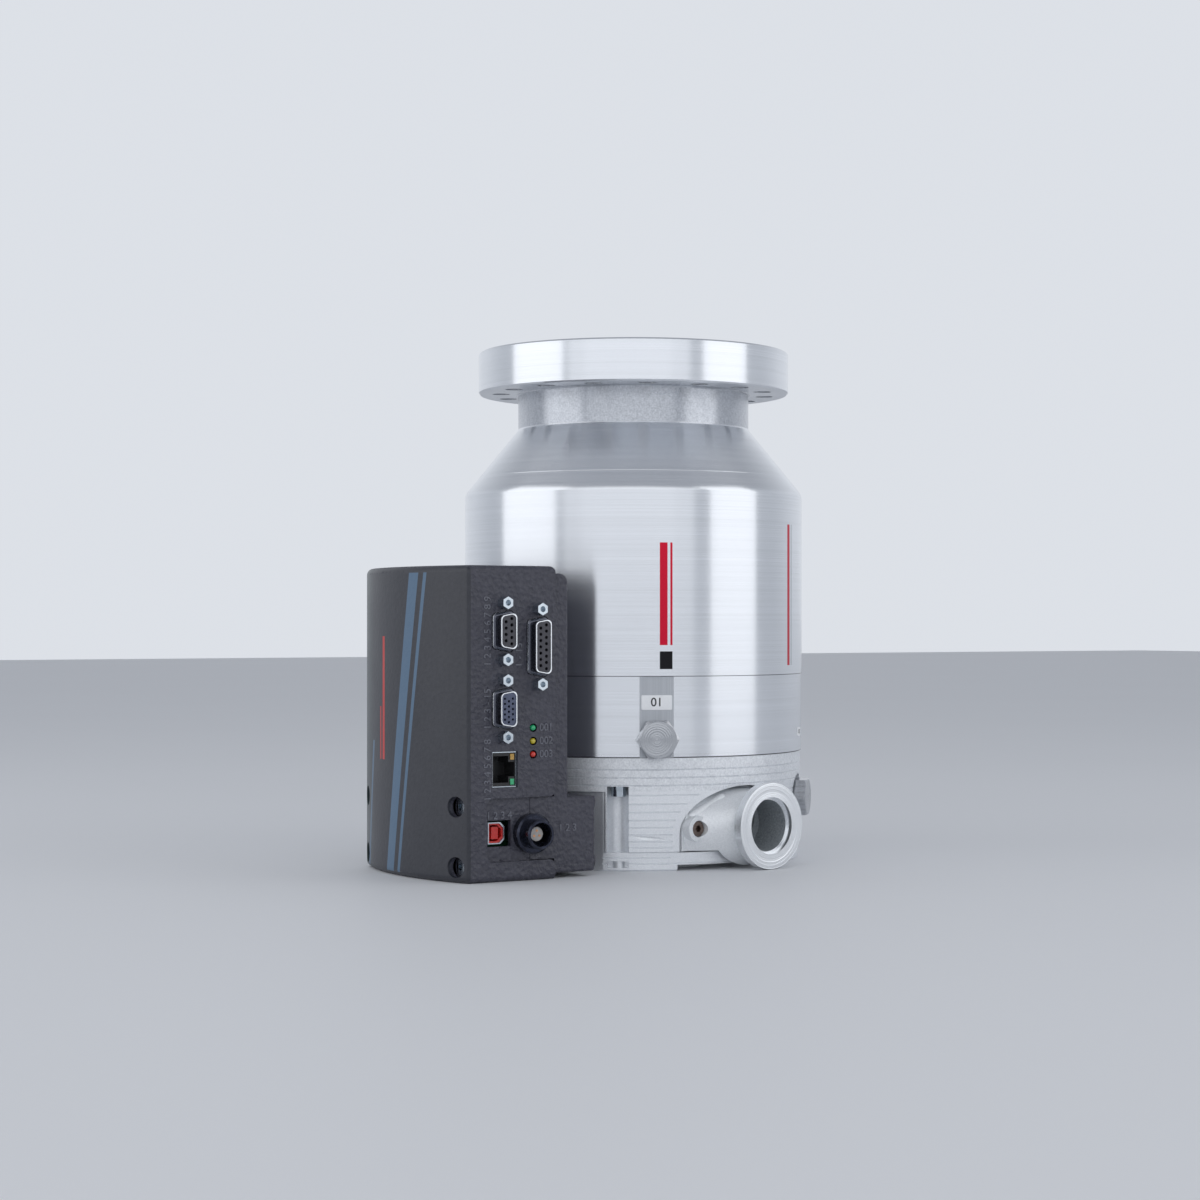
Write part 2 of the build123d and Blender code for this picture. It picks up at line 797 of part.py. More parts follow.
def vent_plate():
    width, height, thickness = plate_size
    plate = extrude(RectangleRounded(width, height, plate_corner), thickness)
    return outward(vent_azimuth, plate_height) * Pos(0, 0, vent_pad) * plate


def purge_plate():
    """Thin plate bent to the ring it is stuck on."""
    width, height, thickness = purge_plate_size
    skin = tube(ring_radius + press + thickness, ring_radius + press, 0, base_height + ring_height)
    window = extrude(RectangleRounded(width, height, plate_corner), 2 * ring_radius)
    return skin & (outward(purge_azimuth, purge_plate_height) * window)


# ---------------------------------------------------------------- rotor
def blade_row(count, middle, height, angle, inner, outer, lean=1):
    chord = height / sin(radians(angle))
    length = outer - inner
    blade = Pos(0, -(inner + outer) / 2, middle) * Rot(0, lean * (90 - angle), 0) * Box(
        blade_thickness, length, chord - blade_thickness)
    return around(blade, count)


def turbine_rotor():
    plate_radius = drum_radius - drum_wall - press
    core = shaft_radius + hub_core_wall
    hollow = hub_radius - hub_wall
    hollow_top = magnet_floor - hub_crown
    magnet_seat = magnet_rotor_outer + press
    bore = shaft_radius + press
    part = turned([
        (bore, plate_bottom), (core, plate_bottom), (core, hollow_top), (hollow, hollow_top),
        (hollow, plate_bottom), (plate_radius, plate_bottom), (plate_radius, hub_bottom),
        (hub_radius, hub_bottom), (hub_radius, rotor_top - hub_edge), (hub_radius - hub_edge, rotor_top),
        (magnet_seat, rotor_top), (magnet_seat, magnet_floor), (bore, magnet_floor),
    ])
    root = hub_radius - blade_root
    rows = [(top_row_bottom + top_blade_height / 2, top_blade_height)]
    rows += [(z - rotor_blade_height / 2, rotor_blade_height) for z in row_tops]
    blades = []
    for (middle, height), count, angle in zip(rows, rotor_blade_counts, rotor_blade_angles):
        blades += blade_row(count, middle, height, angle, root, rotor_tip_radius)
    return part + blades


def rotor_shaft():
    bearing_top = bearing_bottom + bearing_width
    nut_bottom = bearing_bottom - shaft_nut_height
    socket = backup_race_outer + backup_race_gap
    socket_floor = pin_tip - shaft_socket_room
    return turned([
        (0, nut_bottom), (shaft_journal_radius, nut_bottom), (shaft_journal_radius, bearing_top),
        (shaft_foot_radius, bearing_top), (shaft_foot_radius, motor_chamber_bottom + shaft_foot_rise),
        (shaft_radius, motor_chamber_bottom + shaft_foot_rise), (shaft_radius, magnet_floor),
        (socket, magnet_floor), (socket, socket_floor), (0, socket_floor),
    ])


def shaft_nut():
    ring = tube(shaft_nut_radius, shaft_journal_radius + press,
                bearing_bottom - shaft_nut_height, bearing_bottom)
    slot = Pos(0, -shaft_nut_radius, bearing_bottom - shaft_nut_height) * Box(
        nut_slot[0], 2 * nut_slot[1], shaft_nut_height)
    return ring - around(slot, nut_slot_count)


def drag_drum():
    return tube(drum_radius, drum_radius - drum_wall, drum_bottom, hub_bottom)


def magnet_stack(outer, inner):
    low = magnet_top - magnet_count * magnet_height
    return group([tube(outer, inner, low + k * magnet_height, low + (k + 1) * magnet_height)
                  for k in range(magnet_count)])


def motor_magnet():
    return tube(motor_magnet_radius, shaft_radius + press, motor_bottom, motor_bottom + motor_length)


# ---------------------------------------------------------------- stator
def stator_discs():
    discs = []
    inner = hub_radius + stator_hub_gap
    rim_inner = rotor_tip_radius + blade_gap
    for middle in stator_middles:
        low, high = middle - stator_rim_height / 2, middle + stator_rim_height / 2
        disc = tube(stack_outer, rim_inner, low, high)
        disc += tube(inner + stator_hub_width, inner, low, high)
        disc += blade_row(stator_blade_count, middle, stator_blade_height, stator_blade_angle,
                          inner + stator_hub_width / 2, rim_inner + stator_blade_seat, lean=-1)
        discs.append(disc)
    return group(discs)


def spacer_rings():
    half = stator_rim_height / 2
    tops = [spider_bottom] + [z - half for z in stator_middles]
    bottoms = [z + half for z in stator_middles] + [stack_bottom]
    return group([tube(stack_outer, stack_inner, low, high) for high, low in zip(tops, bottoms)])


def drag_stator():
    inner = drum_radius + drag_gap
    outer = ring_bore - slip
    top = stack_bottom
    part = turned([
        (inner, drag_stator_bottom), (outer, drag_stator_bottom),
        (outer, top - drag_stator_flange), (stack_outer, top - drag_stator_flange),
        (stack_outer, top), (inner, top),
    ])
    height = top - drag_stator_bottom
    cutter = Pos(0, -inner, drag_stator_bottom + height / 2) * Rot(0, 90 - drag_groove_angle, 0) * Box(
        drag_groove_width, 2 * drag_groove_depth, 1.4 * height)
    return part - around(cutter, drag_groove_count)


def bearing_spider():
    part = tube(stack_outer, stack_inner, spider_bottom, bore_shoulder)
    part += rod(spider_hub_radius, spider_bottom, spider_bottom + spider_arm_height)
    part += rod(spider_pin_radius, magnet_floor + hub_rim, spider_bottom + 1)
    part += rod(spider_pin_tip_radius, pin_tip, magnet_floor + hub_rim)
    reach = casing_bore - shoulder_width - 1
    inner_reach = reach - spider_arm_taper
    arm = Pos(0, -reach / 2, spider_bottom + spider_ring_height / 2) * Box(
        spider_arm_width, reach, spider_ring_height)
    arm += Pos(0, -inner_reach / 2, spider_bottom + spider_arm_height / 2) * Box(
        spider_arm_width, inner_reach, spider_arm_height)
    return part + around(arm, spider_arm_count, spider_arm_azimuth)


def backup_bearing():
    low = pin_tip + backup_race_rise
    return tube(backup_race_outer, spider_pin_tip_radius + press, low, low + backup_race_height)


def motor_stator():
    outer = motor_stator_outer - slip
    top = motor_bottom + motor_length
    part = tube(outer, motor_stator_inner, motor_bottom, top)
    width, near, far = motor_slot
    slot = Pos(0, -motor_stator_inner - (near + far) / 2, (motor_bottom + top) / 2) * Box(
        width, far - near, motor_length + 2)
    return part - around(slot, motor_slot_count)


def motor_windings():
    inner = motor_stator_inner + winding_setback
    top = motor_bottom + motor_length
    rings = [(motor_bottom - winding_height, motor_bottom), (top, top + winding_height)]
    return group([tube(inner + winding_wall, inner, low, high) for low, high in rings])


# ---------------------------------------------------------------- ball bearing
bearing_middle = bearing_bottom + bearing_width / 2
bearing_circle = (shaft_journal_radius + bearing_outer_radius) / 2
holder_top = bearing_bottom + bearing_width + holder_lip


def race_track():
    return Pos(0, 0, bearing_middle) * Torus(bearing_circle, ball_radius + running)


def bearing_inner_race():
    inner = shaft_journal_radius + press
    ring = tube(shaft_journal_radius + bearing_race_wall, inner,
                bearing_bottom, bearing_bottom + bearing_width)
    return ring - race_track()


def bearing_outer_race():
    ring = tube(bearing_outer_radius, bearing_outer_radius - bearing_race_wall,
                bearing_bottom, bearing_bottom + bearing_width)
    return ring - race_track()


def balls(radius):
    ball = Pos(0, -bearing_circle, bearing_middle) * Sphere(radius)
    return around(ball, ball_count)


def bearing_cage():
    half = cage_height / 2
    ring = tube(bearing_circle + cage_wall / 2, bearing_circle - cage_wall / 2,
                bearing_middle - half, bearing_middle + half)
    return ring - balls(ball_radius + running)


def bearing_balls():
    return group(balls(ball_radius))


def bearing_holder():
    inner = bearing_outer_radius + press
    bearing_top = bearing_bottom + bearing_width
    return turned([
        (inner, bearing_bottom - holder_lip), (holder_radius, bearing_bottom - holder_lip),
        (holder_radius, holder_top), (inner - holder_hold, holder_top),
        (inner - holder_hold, bearing_top), (inner, bearing_top),
    ])


def bearing_dampers():
    circle = holder_radius + damper_section + press
    ring = Torus(circle, damper_section - press)
    span = bearing_width - 2 * damper_section
    heights = [bearing_middle - span / 2 + span * k / (damper_count - 1)
               for k in range(damper_count)]
    return group([Pos(0, 0, z) * ring for z in heights])


def bottom_cover():
    boss_top = bearing_bottom - holder_lip
    part = rod(cover_radius, cover_setback, cover_height)
    part += tube(holder_radius, holder_radius - cover_boss_width, cover_height - 1, boss_top)
    part -= rod(shaft_nut_radius + cover_room[0], cover_setback + cover_room[1], cover_height + 1)
    hole = rod(tie_screw_radius + screw_play, 0, cover_height + 1)
    sink = rod(tie_screw_head_radius + screw_play, 0, cover_height - cover_screw_seat)
    return part - around(Pos(0, -cover_screw_circle, 0) * (hole + sink), cover_screw_count)


def bottom_cover_screws():
    seat = cover_height - cover_screw_seat
    low = seat - cover_screw_head
    head = rod(tie_screw_head_radius, low, seat)
    shank = rod(tie_screw_radius - press, seat, cover_height + cover_screw_grip - 1)
    socket = Pos(0, 0, low) * extrude(RegularPolygon(key_radius, 6), key_depth)
    screw = Pos(0, -cover_screw_circle, 0) * (head + shank - socket)
    return group(around(screw, cover_screw_count))


# ---------------------------------------------------------------- control box
arc_x, arc_y = front_arc_centre


def panel(x_from_axis=0.0, height=0.0, depth=0.0):
    """Frame on the socket panel: local X right, Y up, Z out of the panel."""
    return Plane((-x_from_axis, -panel_offset + depth, height), x_dir=(1, 0, 0),
                 z_dir=(0, -1, 0)).location


def box_outline(inset, rear, panel_inset):
    """Plan of the front cover: straight sides and a bowed front."""
    front = arc_x - front_arc_radius
    low, high = -panel_offset + panel_inset, far_side_offset - inset
    plan = Pos((front + -rear) / 2, (low + high) / 2) * Rectangle(-rear - front, high - low)
    return plan & Pos(arc_x, arc_y) * Circle(front_arc_radius - inset)


def cover_blank():
    part = extrude(box_outline(0, cover_rear, 0), box_height)
    far_corner = part.edges().filter_by(Axis.Z).sort_by(Axis.X)[:2].sort_by(Axis.Y)
    part = fillet(far_corner[-1], box_round)
    near_corner = part.edges().filter_by(Axis.Z).filter_by(
        lambda e: abs(e.center().Y + panel_offset) < 0.01).sort_by(Axis.X)
    part = fillet(near_corner[0], box_corner_round)
    rear_corners = part.edges().filter_by(Axis.Y).filter_by(
        lambda e: abs(e.center().X + cover_rear) < 0.01)
    rims = [e for z in (0, box_height) for e in part.edges().filter_by(
        lambda e, z=z: abs(e.center().Z - z) < 0.01) if e not in rear_corners]
    rims = [e for e in rims if abs(e.center().X + cover_rear) > 0.01]
    return fillet(rims, box_edge_round)


def screw_lines():
    """Where each face screw enters the bowed front: (x, y, z)."""
    return [(arc_x - front_arc_radius * cos(radians(a)), arc_y - front_arc_radius * sin(radians(a)), z)
            for a in face_screw_angles for z in face_screw_heights]


def d_outline(length, width, grow=0.0):
    """D-shaped outline with its long axis upright and its wider side on the right."""
    half_l, half_w = length / 2 + grow, width / 2 + grow
    slant = 2 * half_w * tan(radians(shell_slant))
    outline = Polyline([(half_w, -half_l), (half_w, half_l), (-half_w, half_l - slant),
                        (-half_w, -half_l + slant)], close=True)
    face = make_face(outline)
    return fillet(face.vertices(), shell_round)


sockets = [(nine_pin_place, small_shell_length, small_post_spacing),
           (fifteen_pin_place, large_shell_length, large_post_spacing),
           (dense_pin_place, small_shell_length, small_post_spacing)]


def panel_holes():
    """Everything that passes through the socket panel."""
    deep = 40
    cuts = []
    for (x, z), length, spacing in sockets:
        cuts.append(panel(x, z, deep / 2) * extrude(d_outline(length, shell_width, shell_flare), deep))
        for side in (-1, 1):
            cuts.append(panel(x, z + side * spacing / 2) * Cylinder(post_hole_radius, deep))
    for z in lamp_heights:
        cuts.append(panel(lamp_place, z) * Cylinder(lamp_recess_radius, deep))
    x, z = network_place
    width, height = network_size[:2]
    cuts.append(panel(x, z) * Box(width + 2 * panel_gap, height + 2 * panel_gap, deep))
    x, z = usb_place
    cuts.append(panel(x, z) * Box(usb_opening[0], usb_opening[1], deep))
    x, z = power_place
    cuts.append(panel(x, z) * Cylinder(power_ring_radius + panel_gap, deep))
    return cuts


def low_recess():
    """Sunk corner of the panel round the USB and power sockets, open to the rear."""
    width = recess_left - cover_rear + 20
    height = recess_top - recess_bottom
    middle = panel(recess_left - width / 2, recess_bottom + height / 2, rear_inset)
    return middle * extrude(RectangleRounded(width, height, recess_corner_round), 2 * rear_inset)


def controller_cover():
    part = cover_blank()
    thick = box_wall + rear_inset
    inside = extrude(box_outline(box_wall, cover_rear - 5, thick), box_height - 2 * box_wall)
    inside = Pos(0, 0, box_wall) * inside
    columns = [along_x(column_radius, x + box_wall, -cover_rear, y, z) for x, y, z in screw_lines()]
    posts = [panel(x, z, thick) * Pos(0, 0, -board_stand / 2) * Cylinder(board_post_radius, board_stand)
             for x in main_board_post_places for z in main_board_post_heights]
    hollow = inside - columns - posts
    part -= hollow
    part -= low_recess()
    width = tongue_left - cover_rear + 10
    middle = (recess_top + recess_bottom) / 2
    part -= panel(tongue_left - width / 2, middle) * Box(width, recess_top - recess_bottom, 2 * thick + 0.2)
    r = box_rear_round
    corner = extrude(Rectangle(r, r, align=Align.MIN) - Circle(r), 2 * panel_offset, both=True)
    part -= panel(cover_rear + r, box_height - r) * corner
    r = recess_corner_round
    corner = extrude(Rectangle(r, r, align=Align.MIN) - Circle(r), thick, both=True)
    part -= panel(cover_rear + r, recess_top + r) * Rot(0, 0, -90) * corner
    part -= panel(cover_rear + r, recess_bottom - r) * corner
    part -= panel_holes()
    for x, y, z in screw_lines():
        floor = x + face_screw_recess_depth
        part -= along_x(face_screw_recess_radius, x - 5, floor, y, z)
        part -= along_x(face_screw_radius + screw_play, floor - 1, -cover_rear + 1, y, z)
    return part


def rear_blank(inset=0.0):
    """Outside of the rear shell, or of the hollow in it when inset by its wall."""
    low, high = -panel_offset + rear_inset + inset, far_side_offset - rear_inset - inset
    front = -cover_rear + (seam if inset == 0 else -1)

    def block(rear, bottom, top):
        return Pos((front - rear) / 2, (low + high) / 2, (bottom + top) / 2) * Box(
            -rear - front, high - low, top - bottom)

    tall = block(rear_face + inset, rear_bottom + inset, rear_top - inset)
    short = block(low_rear_face + inset, rear_bottom + inset, low_rear_top - inset)
    return tall + short


def controller_rear():
    part = rear_blank()
    crest = part.edges().filter_by(Axis.Y).filter_by(
        lambda e: abs(e.center().X + rear_face) < 0.01 and abs(e.center().Z - rear_top) < 0.01)
    part = fillet(crest, rear_top_round)
    edges = part.edges().filter_by(lambda e: abs(e.center().X + cover_rear - seam) > 0.01)
    outer = [e for e in edges if e.center().X > -cover_rear + 1]
    concave = [e for e in outer if abs(e.center().Z - low_rear_top) < 0.01
               and abs(e.center().X + rear_face) < 0.01]
    part = fillet([e for e in outer if e not in concave], rear_round)
    part -= rear_blank(box_wall)
    thick = box_wall + rear_inset
    middle = (recess_top + recess_bottom) / 2
    tongue = panel((tongue_left - seam + cover_rear - 3) / 2, middle, (rear_inset + thick) / 2) * Box(
        tongue_left - seam - cover_rear + 3, recess_top - recess_bottom - 2 * seam, thick - rear_inset)
    part += tongue & Pos(-cover_rear, 0, 0) * Box(200, 400, 400)
    columns = [along_x(column_radius, -cover_rear + seam, -low_rear_face, y, z)
               for _, y, z in screw_lines()]
    part += [c & rear_blank() for c in columns]
    posts = [along_x(board_post_radius, -power_board_offset + board_thickness / 2, -rear_face - 1, y, z)
             for y in power_board_post_places for z in power_board_post_heights]
    part += posts
    for _, y, z in screw_lines():
        part -= along_x(face_screw_radius, -cover_rear - 1, -column_floor, y, z)
    part -= rod(barrel_radius + casing_clearance, low_rear_top - 0.01, box_height + 1)
    for y, z in mount_screw_places:
        part -= along_x(mount_screw_radius + screw_play, -low_rear_face - 6, -low_rear_face + 1, y, z)
    y, z = feedthrough_place
    part -= along_x(feedthrough_radius + slip, -low_rear_face - 6, -low_rear_face + 1, y, z)
    x, z = power_place
    return part - panel(x, z) * Cylinder(power_ring_radius + panel_gap, 40)


def face_screws():
    screws = []
    for x, y, z in screw_lines():
        seat = x + face_screw_recess_depth
        screw = along_x(face_screw_head_radius, seat - face_screw_head_height, seat, y, z)
        screw += along_x(face_screw_radius - press, seat - 1, -column_floor - 1, y, z)
        socket = Pos(seat - face_screw_head_height, y, z) * Rot(0, 90, 0) * extrude(
            RegularPolygon(face_key_radius, 6), key_depth)
        screws.append(screw - socket)
    return group(screws)


def mount_screws():
    wall = -low_rear_face - box_wall
    screws = []
    for y, z in mount_screw_places:
        screw = along_x(mount_screw_head_radius, wall - mount_screw_head_height, wall, y, z)
        screw += along_x(mount_screw_radius - press, wall - 1, -base_flat + mount_screw_length - 1, y, z)
        screws.append(screw)
    return group(screws)


def feedthrough():
    y, z = feedthrough_place
    inner = -base_flat + feedthrough_depth
    end = -low_rear_face - box_wall - feedthrough_reach
    body = along_x(feedthrough_radius, inner, end, y, z)
    count, circle, radius, length = feedthrough_pins
    turns = [radians(360 * k / count) for k in range(count)]
    return body + [along_x(radius, end + 1, end - length, y + circle * cos(a), z + circle * sin(a))
                   for a in turns]


def socket_shell(place, length):
    """Drawn metal shell of a D-shaped socket, with the flare where it leaves its flange."""
    x, z = place
    depth = box_wall + rear_inset
    low = -depth - 1.0
    outer = extrude(d_outline(length, shell_width), shell_reach - low)
    inner = extrude(d_outline(length, shell_width, -shell_wall), shell_reach - low)
    width, over = socket_flange
    spacing = small_post_spacing if length == small_shell_length else large_post_spacing
    flange = extrude(Rectangle(width, spacing + over), shell_wall * 2)
    holes = [Pos(0, s * spacing / 2) * Cylinder(post_stem_radius + screw_play, 10) for s in (-1, 1)]
    flare = extrude(d_outline(length, shell_width, shell_flare - flare_inset), flare_height + depth)
    rim = flare.edges().filter_by(lambda e: abs(e.center().Z - flare_height - depth) < 0.01)
    flare = fillet(rim, flare_round)
    part = Pos(0, 0, low) * (outer + flange + flare - holes) - Pos(0, 0, low - 1) * (
        extrude(d_outline(length, shell_width, -shell_wall), shell_reach - low + 3))
    return panel(x, z) * part


def pin_holes(length, dense):
    if dense:
        rows = [(dense_row_pitch, 5, dense_pitch, 0), (0, 5, dense_pitch, -dense_pitch / 2),
                (-dense_row_pitch, 5, dense_pitch, 0)]
    else:
        wide = 5 if length == small_shell_length else 8
        rows = [(pin_row_pitch / 2, wide, pin_pitch, 0), (-pin_row_pitch / 2, wide - 1, pin_pitch, 0)]
    radius = dense_pin_hole_radius if dense else pin_hole_radius
    return [Pos(x, (k - (count - 1) / 2) * pitch + shift) * Cylinder(radius, 2 * pin_hole_depth)
            for x, count, pitch, shift in rows for k in range(count)]


def socket_insert(place, length, dense=False):
    x, z = place
    low = -(box_wall + rear_inset) - socket_body_depth
    front = shell_reach - insert_setback
    block = Pos(0, 0, low) * extrude(d_outline(length, shell_width, -shell_wall - 0.05), front - low)
    holes = [Pos(0, 0, front) * hole for hole in pin_holes(length, dense)]
    return panel(x, z) * (block - holes)


def socket_posts():
    """Hexagonal jack posts, two to a socket, with a threaded stem through its flange."""
    post = extrude(RegularPolygon(post_across_flats / 2, 6, major_radius=False, rotation=30), post_reach)
    stem = rod(post_stem_radius, -(box_wall + rear_inset) - post_stem_length, 0)
    post = post + stem - rod(post_bore, post_reach - post_bore_depth, post_reach + 1)
    posts = []
    for (x, z), _, spacing in sockets:
        posts += [panel(x, z + side * spacing / 2) * post for side in (-1, 1)]
    return group(posts)


def lamp(height):
    body = rod(lamp_radius, -lamp_setback - lamp_length, -lamp_setback)
    return panel(lamp_place, height) * (body + Pos(0, 0, -lamp_setback) * Sphere(lamp_radius))


def network_shield():
    x, z = network_place
    width, height, depth = network_size
    outer = Box(width, height, depth)
    inner = Pos(0, 0, network_wall) * Box(width - 2 * network_wall, height - 2 * network_wall, depth)
    return panel(x, z) * Pos(0, 0, -network_sink - depth / 2) * (outer - inner)


def network_insert():
    x, z = network_place
    width, height, depth = network_size
    play = network_wall + 0.05
    body = Box(width - 2 * play, height - 2 * play, depth - 3 * network_wall)
    open_width, open_height = network_opening
    hollow = depth - 2 * network_wall
    lift = network_floor - network_wall
    opening = Pos(-(width - open_width) / 2 + play + network_lining, 0, lift) * Box(
        open_width, open_height, hollow)
    latch_width, latch_height = network_latch
    latch = Pos(network_shift + (open_width - latch_width) / 2 + network_lining, 0, lift) * Box(
        latch_width, latch_height, hollow)
    part = body - opening - latch
    part -= network_lamp_boxes(slip)
    return panel(x, z) * Pos(0, 0, -network_sink - depth / 2) * part


def network_lamp_boxes(grow):
    width, height, depth = network_size
    wide, high, long = network_lamp_size
    x = width / 2 - network_wall - network_lamp_inset[0]
    y = height / 2 - network_wall - network_lamp_inset[1]
    z = (depth - long) / 2 - network_lamp_inset[2]
    block = Box(wide + grow, high + grow, long + grow)
    return [Pos(x, side * y, z) * block for side in (-1, 1)]


def network_lamp(side):
    x, z = network_place
    depth = network_size[2]
    lamp_box = network_lamp_boxes(0)[side]
    return panel(x, z) * Pos(0, 0, -network_sink - depth / 2) * lamp_box


def usb_outline(grow=0.0):
    """Squarish outline with its two right-hand corners cut off."""
    w, h = usb_size[0] / 2 + grow, usb_size[1] / 2 + grow
    cut = usb_bevel
    return make_face(Polyline([(-w, -h), (w - cut, -h), (w, -h + cut), (w, h - cut),
                               (w - cut, h), (-w, h)], close=True))


def usb_shield():
    x, z = usb_place
    outer = extrude(usb_outline(), usb_depth)
    inner = Pos(0, 0, usb_wall) * extrude(usb_outline(-usb_wall), usb_depth)
    return panel(x, z) * Pos(0, 0, -usb_sink - usb_depth) * (outer - inner)


def usb_insert():
    x, z = usb_place
    floor = -usb_sink - usb_depth + usb_wall
    depth = usb_depth - usb_wall
    lining = extrude(usb_outline(-usb_wall - press), depth - usb_lining_setback)
    hollow = Pos(0, 0, usb_floor) * extrude(usb_outline(-usb_wall - usb_lining), usb_depth)
    tongue = extrude(Rectangle(*usb_tongue), depth - usb_tongue_setback)
    return panel(x, z) * Pos(0, 0, floor) * (lining - hollow + tongue)


def power_socket():
    x, z = power_place
    back = rear_inset + box_wall
    floor = rear_inset
    part = Pos(0, 0, -floor) * extrude(Circle(power_base_radius), power_base_reach)
    part = chamfer(part.edges().filter_by(lambda e: e.center().Z > 0), power_edges[0])
    part += Pos(0, 0, -power_body_depth - back) * extrude(
        Circle(power_ring_radius), power_body_depth + back + power_ring_reach - floor)
    rim = part.edges().filter_by(lambda e: abs(e.center().Z - power_ring_reach + floor) < 0.01)
    part = chamfer(rim, power_edges[1])
    nut = Pos(0, 0, -back - power_nut_height) * extrude(Circle(power_nut_radius), power_nut_height)
    part += nut
    part -= Pos(0, 0, -power_insert_depth) * extrude(Circle(power_ring_bore), 30)
    return panel(x, z) * part


def power_insert():
    x, z = power_place
    front = -power_insert_depth + power_insert_reach
    body = Pos(0, 0, -power_insert_depth) * extrude(Circle(power_insert_radius), power_insert_reach)
    holes = [Pos(px, py, front) * Cylinder(
        power_pin_radius + press, 2 * power_pin_depth) for px, py in power_pin_spots()]
    return panel(x, z) * (body - holes)


def power_pin_spots():
    return [(power_pin_circle * cos(radians(a)), power_pin_circle * sin(radians(a)))
            for a in (90, 210, 330)]


def power_pins():
    x, z = power_place
    front = -power_insert_depth + power_insert_reach
    pin = rod(power_pin_radius, front - power_pin_depth, front + power_pin_reach)
    pins = [panel(x, z) * Pos(px, py, 0) * pin for px, py in power_pin_spots()]
    return group(pins)


def circuit_boards():
    """Main board behind the sockets, and power board on the rear shell's posts."""
    y_face = -panel_offset + box_wall + rear_inset + board_stand
    near, far = main_board_span
    main = Pos(-(near + far) / 2, y_face + board_thickness / 2, box_height / 2) * Box(
        far - near, board_thickness, main_board_height)
    y_low, y_high = power_board_span
    power = Pos(-power_board_offset, (y_low + y_high) / 2, box_height / 2) * Box(
        board_thickness, y_high - y_low, power_board_height)
    return group([main, power])


def capacitors():
    radius, length = capacitor_size
    face = -power_board_offset - board_thickness / 2
    return group([along_x(radius, face - length, face, capacitor_y, z) for z in capacitor_heights])


def pieces():
    shelf = {
        "inlet_casing": inlet_casing, "inlet_screen": inlet_screen, "casing_ring": casing_ring,
        "casing_seals": casing_seals, "tie_screws": tie_screws, "base_housing": base_housing,
        "foreline_port": foreline_port, "port_screws": port_screws, "port_seal": port_seal,
        "vent_plug": vent_plug, "purge_plug": purge_plug, "plug_washers": plug_washers,
        "vent_plate": vent_plate, "purge_plate": purge_plate,
        "turbine_rotor": turbine_rotor, "rotor_shaft": rotor_shaft, "shaft_nut": shaft_nut,
        "drag_drum": drag_drum, "motor_magnet": motor_magnet, "stator_discs": stator_discs,
        "spacer_rings": spacer_rings, "drag_stator": drag_stator, "bearing_spider": bearing_spider,
        "backup_bearing": backup_bearing, "motor_stator": motor_stator,
        "motor_windings": motor_windings, "bearing_inner_race": bearing_inner_race,
        "bearing_outer_race": bearing_outer_race, "bearing_cage": bearing_cage,
        "bearing_balls": bearing_balls, "bearing_holder": bearing_holder,
        "bearing_dampers": bearing_dampers, "bottom_cover": bottom_cover,
        "bottom_cover_screws": bottom_cover_screws, "controller_cover": controller_cover,
        "controller_rear": controller_rear, "face_screws": face_screws,
        "mount_screws": mount_screws, "feedthrough": feedthrough, "socket_posts": socket_posts,
        "network_shield": network_shield, "network_insert": network_insert,
        "usb_shield": usb_shield, "usb_insert": usb_insert, "power_socket": power_socket,
        "power_insert": power_insert, "power_pins": power_pins, "circuit_boards": circuit_boards,
        "capacitors": capacitors,
    }
    made = {name: make() for name, make in shelf.items()}
    made["rotor_magnets"] = magnet_stack(magnet_rotor_outer, magnet_rotor_inner)
    made["stator_magnets"] = magnet_stack(magnet_stator_outer, spider_pin_radius + press)
    shells = [socket_shell(place, length) for place, length, _ in sockets]
    made["socket_shells"] = group(shells)
    made["socket_inserts"] = group([
        socket_insert(nine_pin_place, small_shell_length),
        socket_insert(fifteen_pin_place, large_shell_length)])
    made["dense_insert"] = socket_insert(dense_pin_place, small_shell_length, dense=True)
    for name, height in zip(("green_lamp", "yellow_lamp", "red_lamp"), lamp_heights):
        made[name] = lamp(height)
    made["link_lamp"] = network_lamp(1)
    made["activity_lamp"] = network_lamp(0)
    return made


os.makedirs("parts", exist_ok=True)
for name, shape in pieces().items():
    export_step(shape, os.path.join("parts", name + ".step"))
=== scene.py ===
import json
from math import cos, radians, sin

import bpy
from mathutils import Matrix, Vector


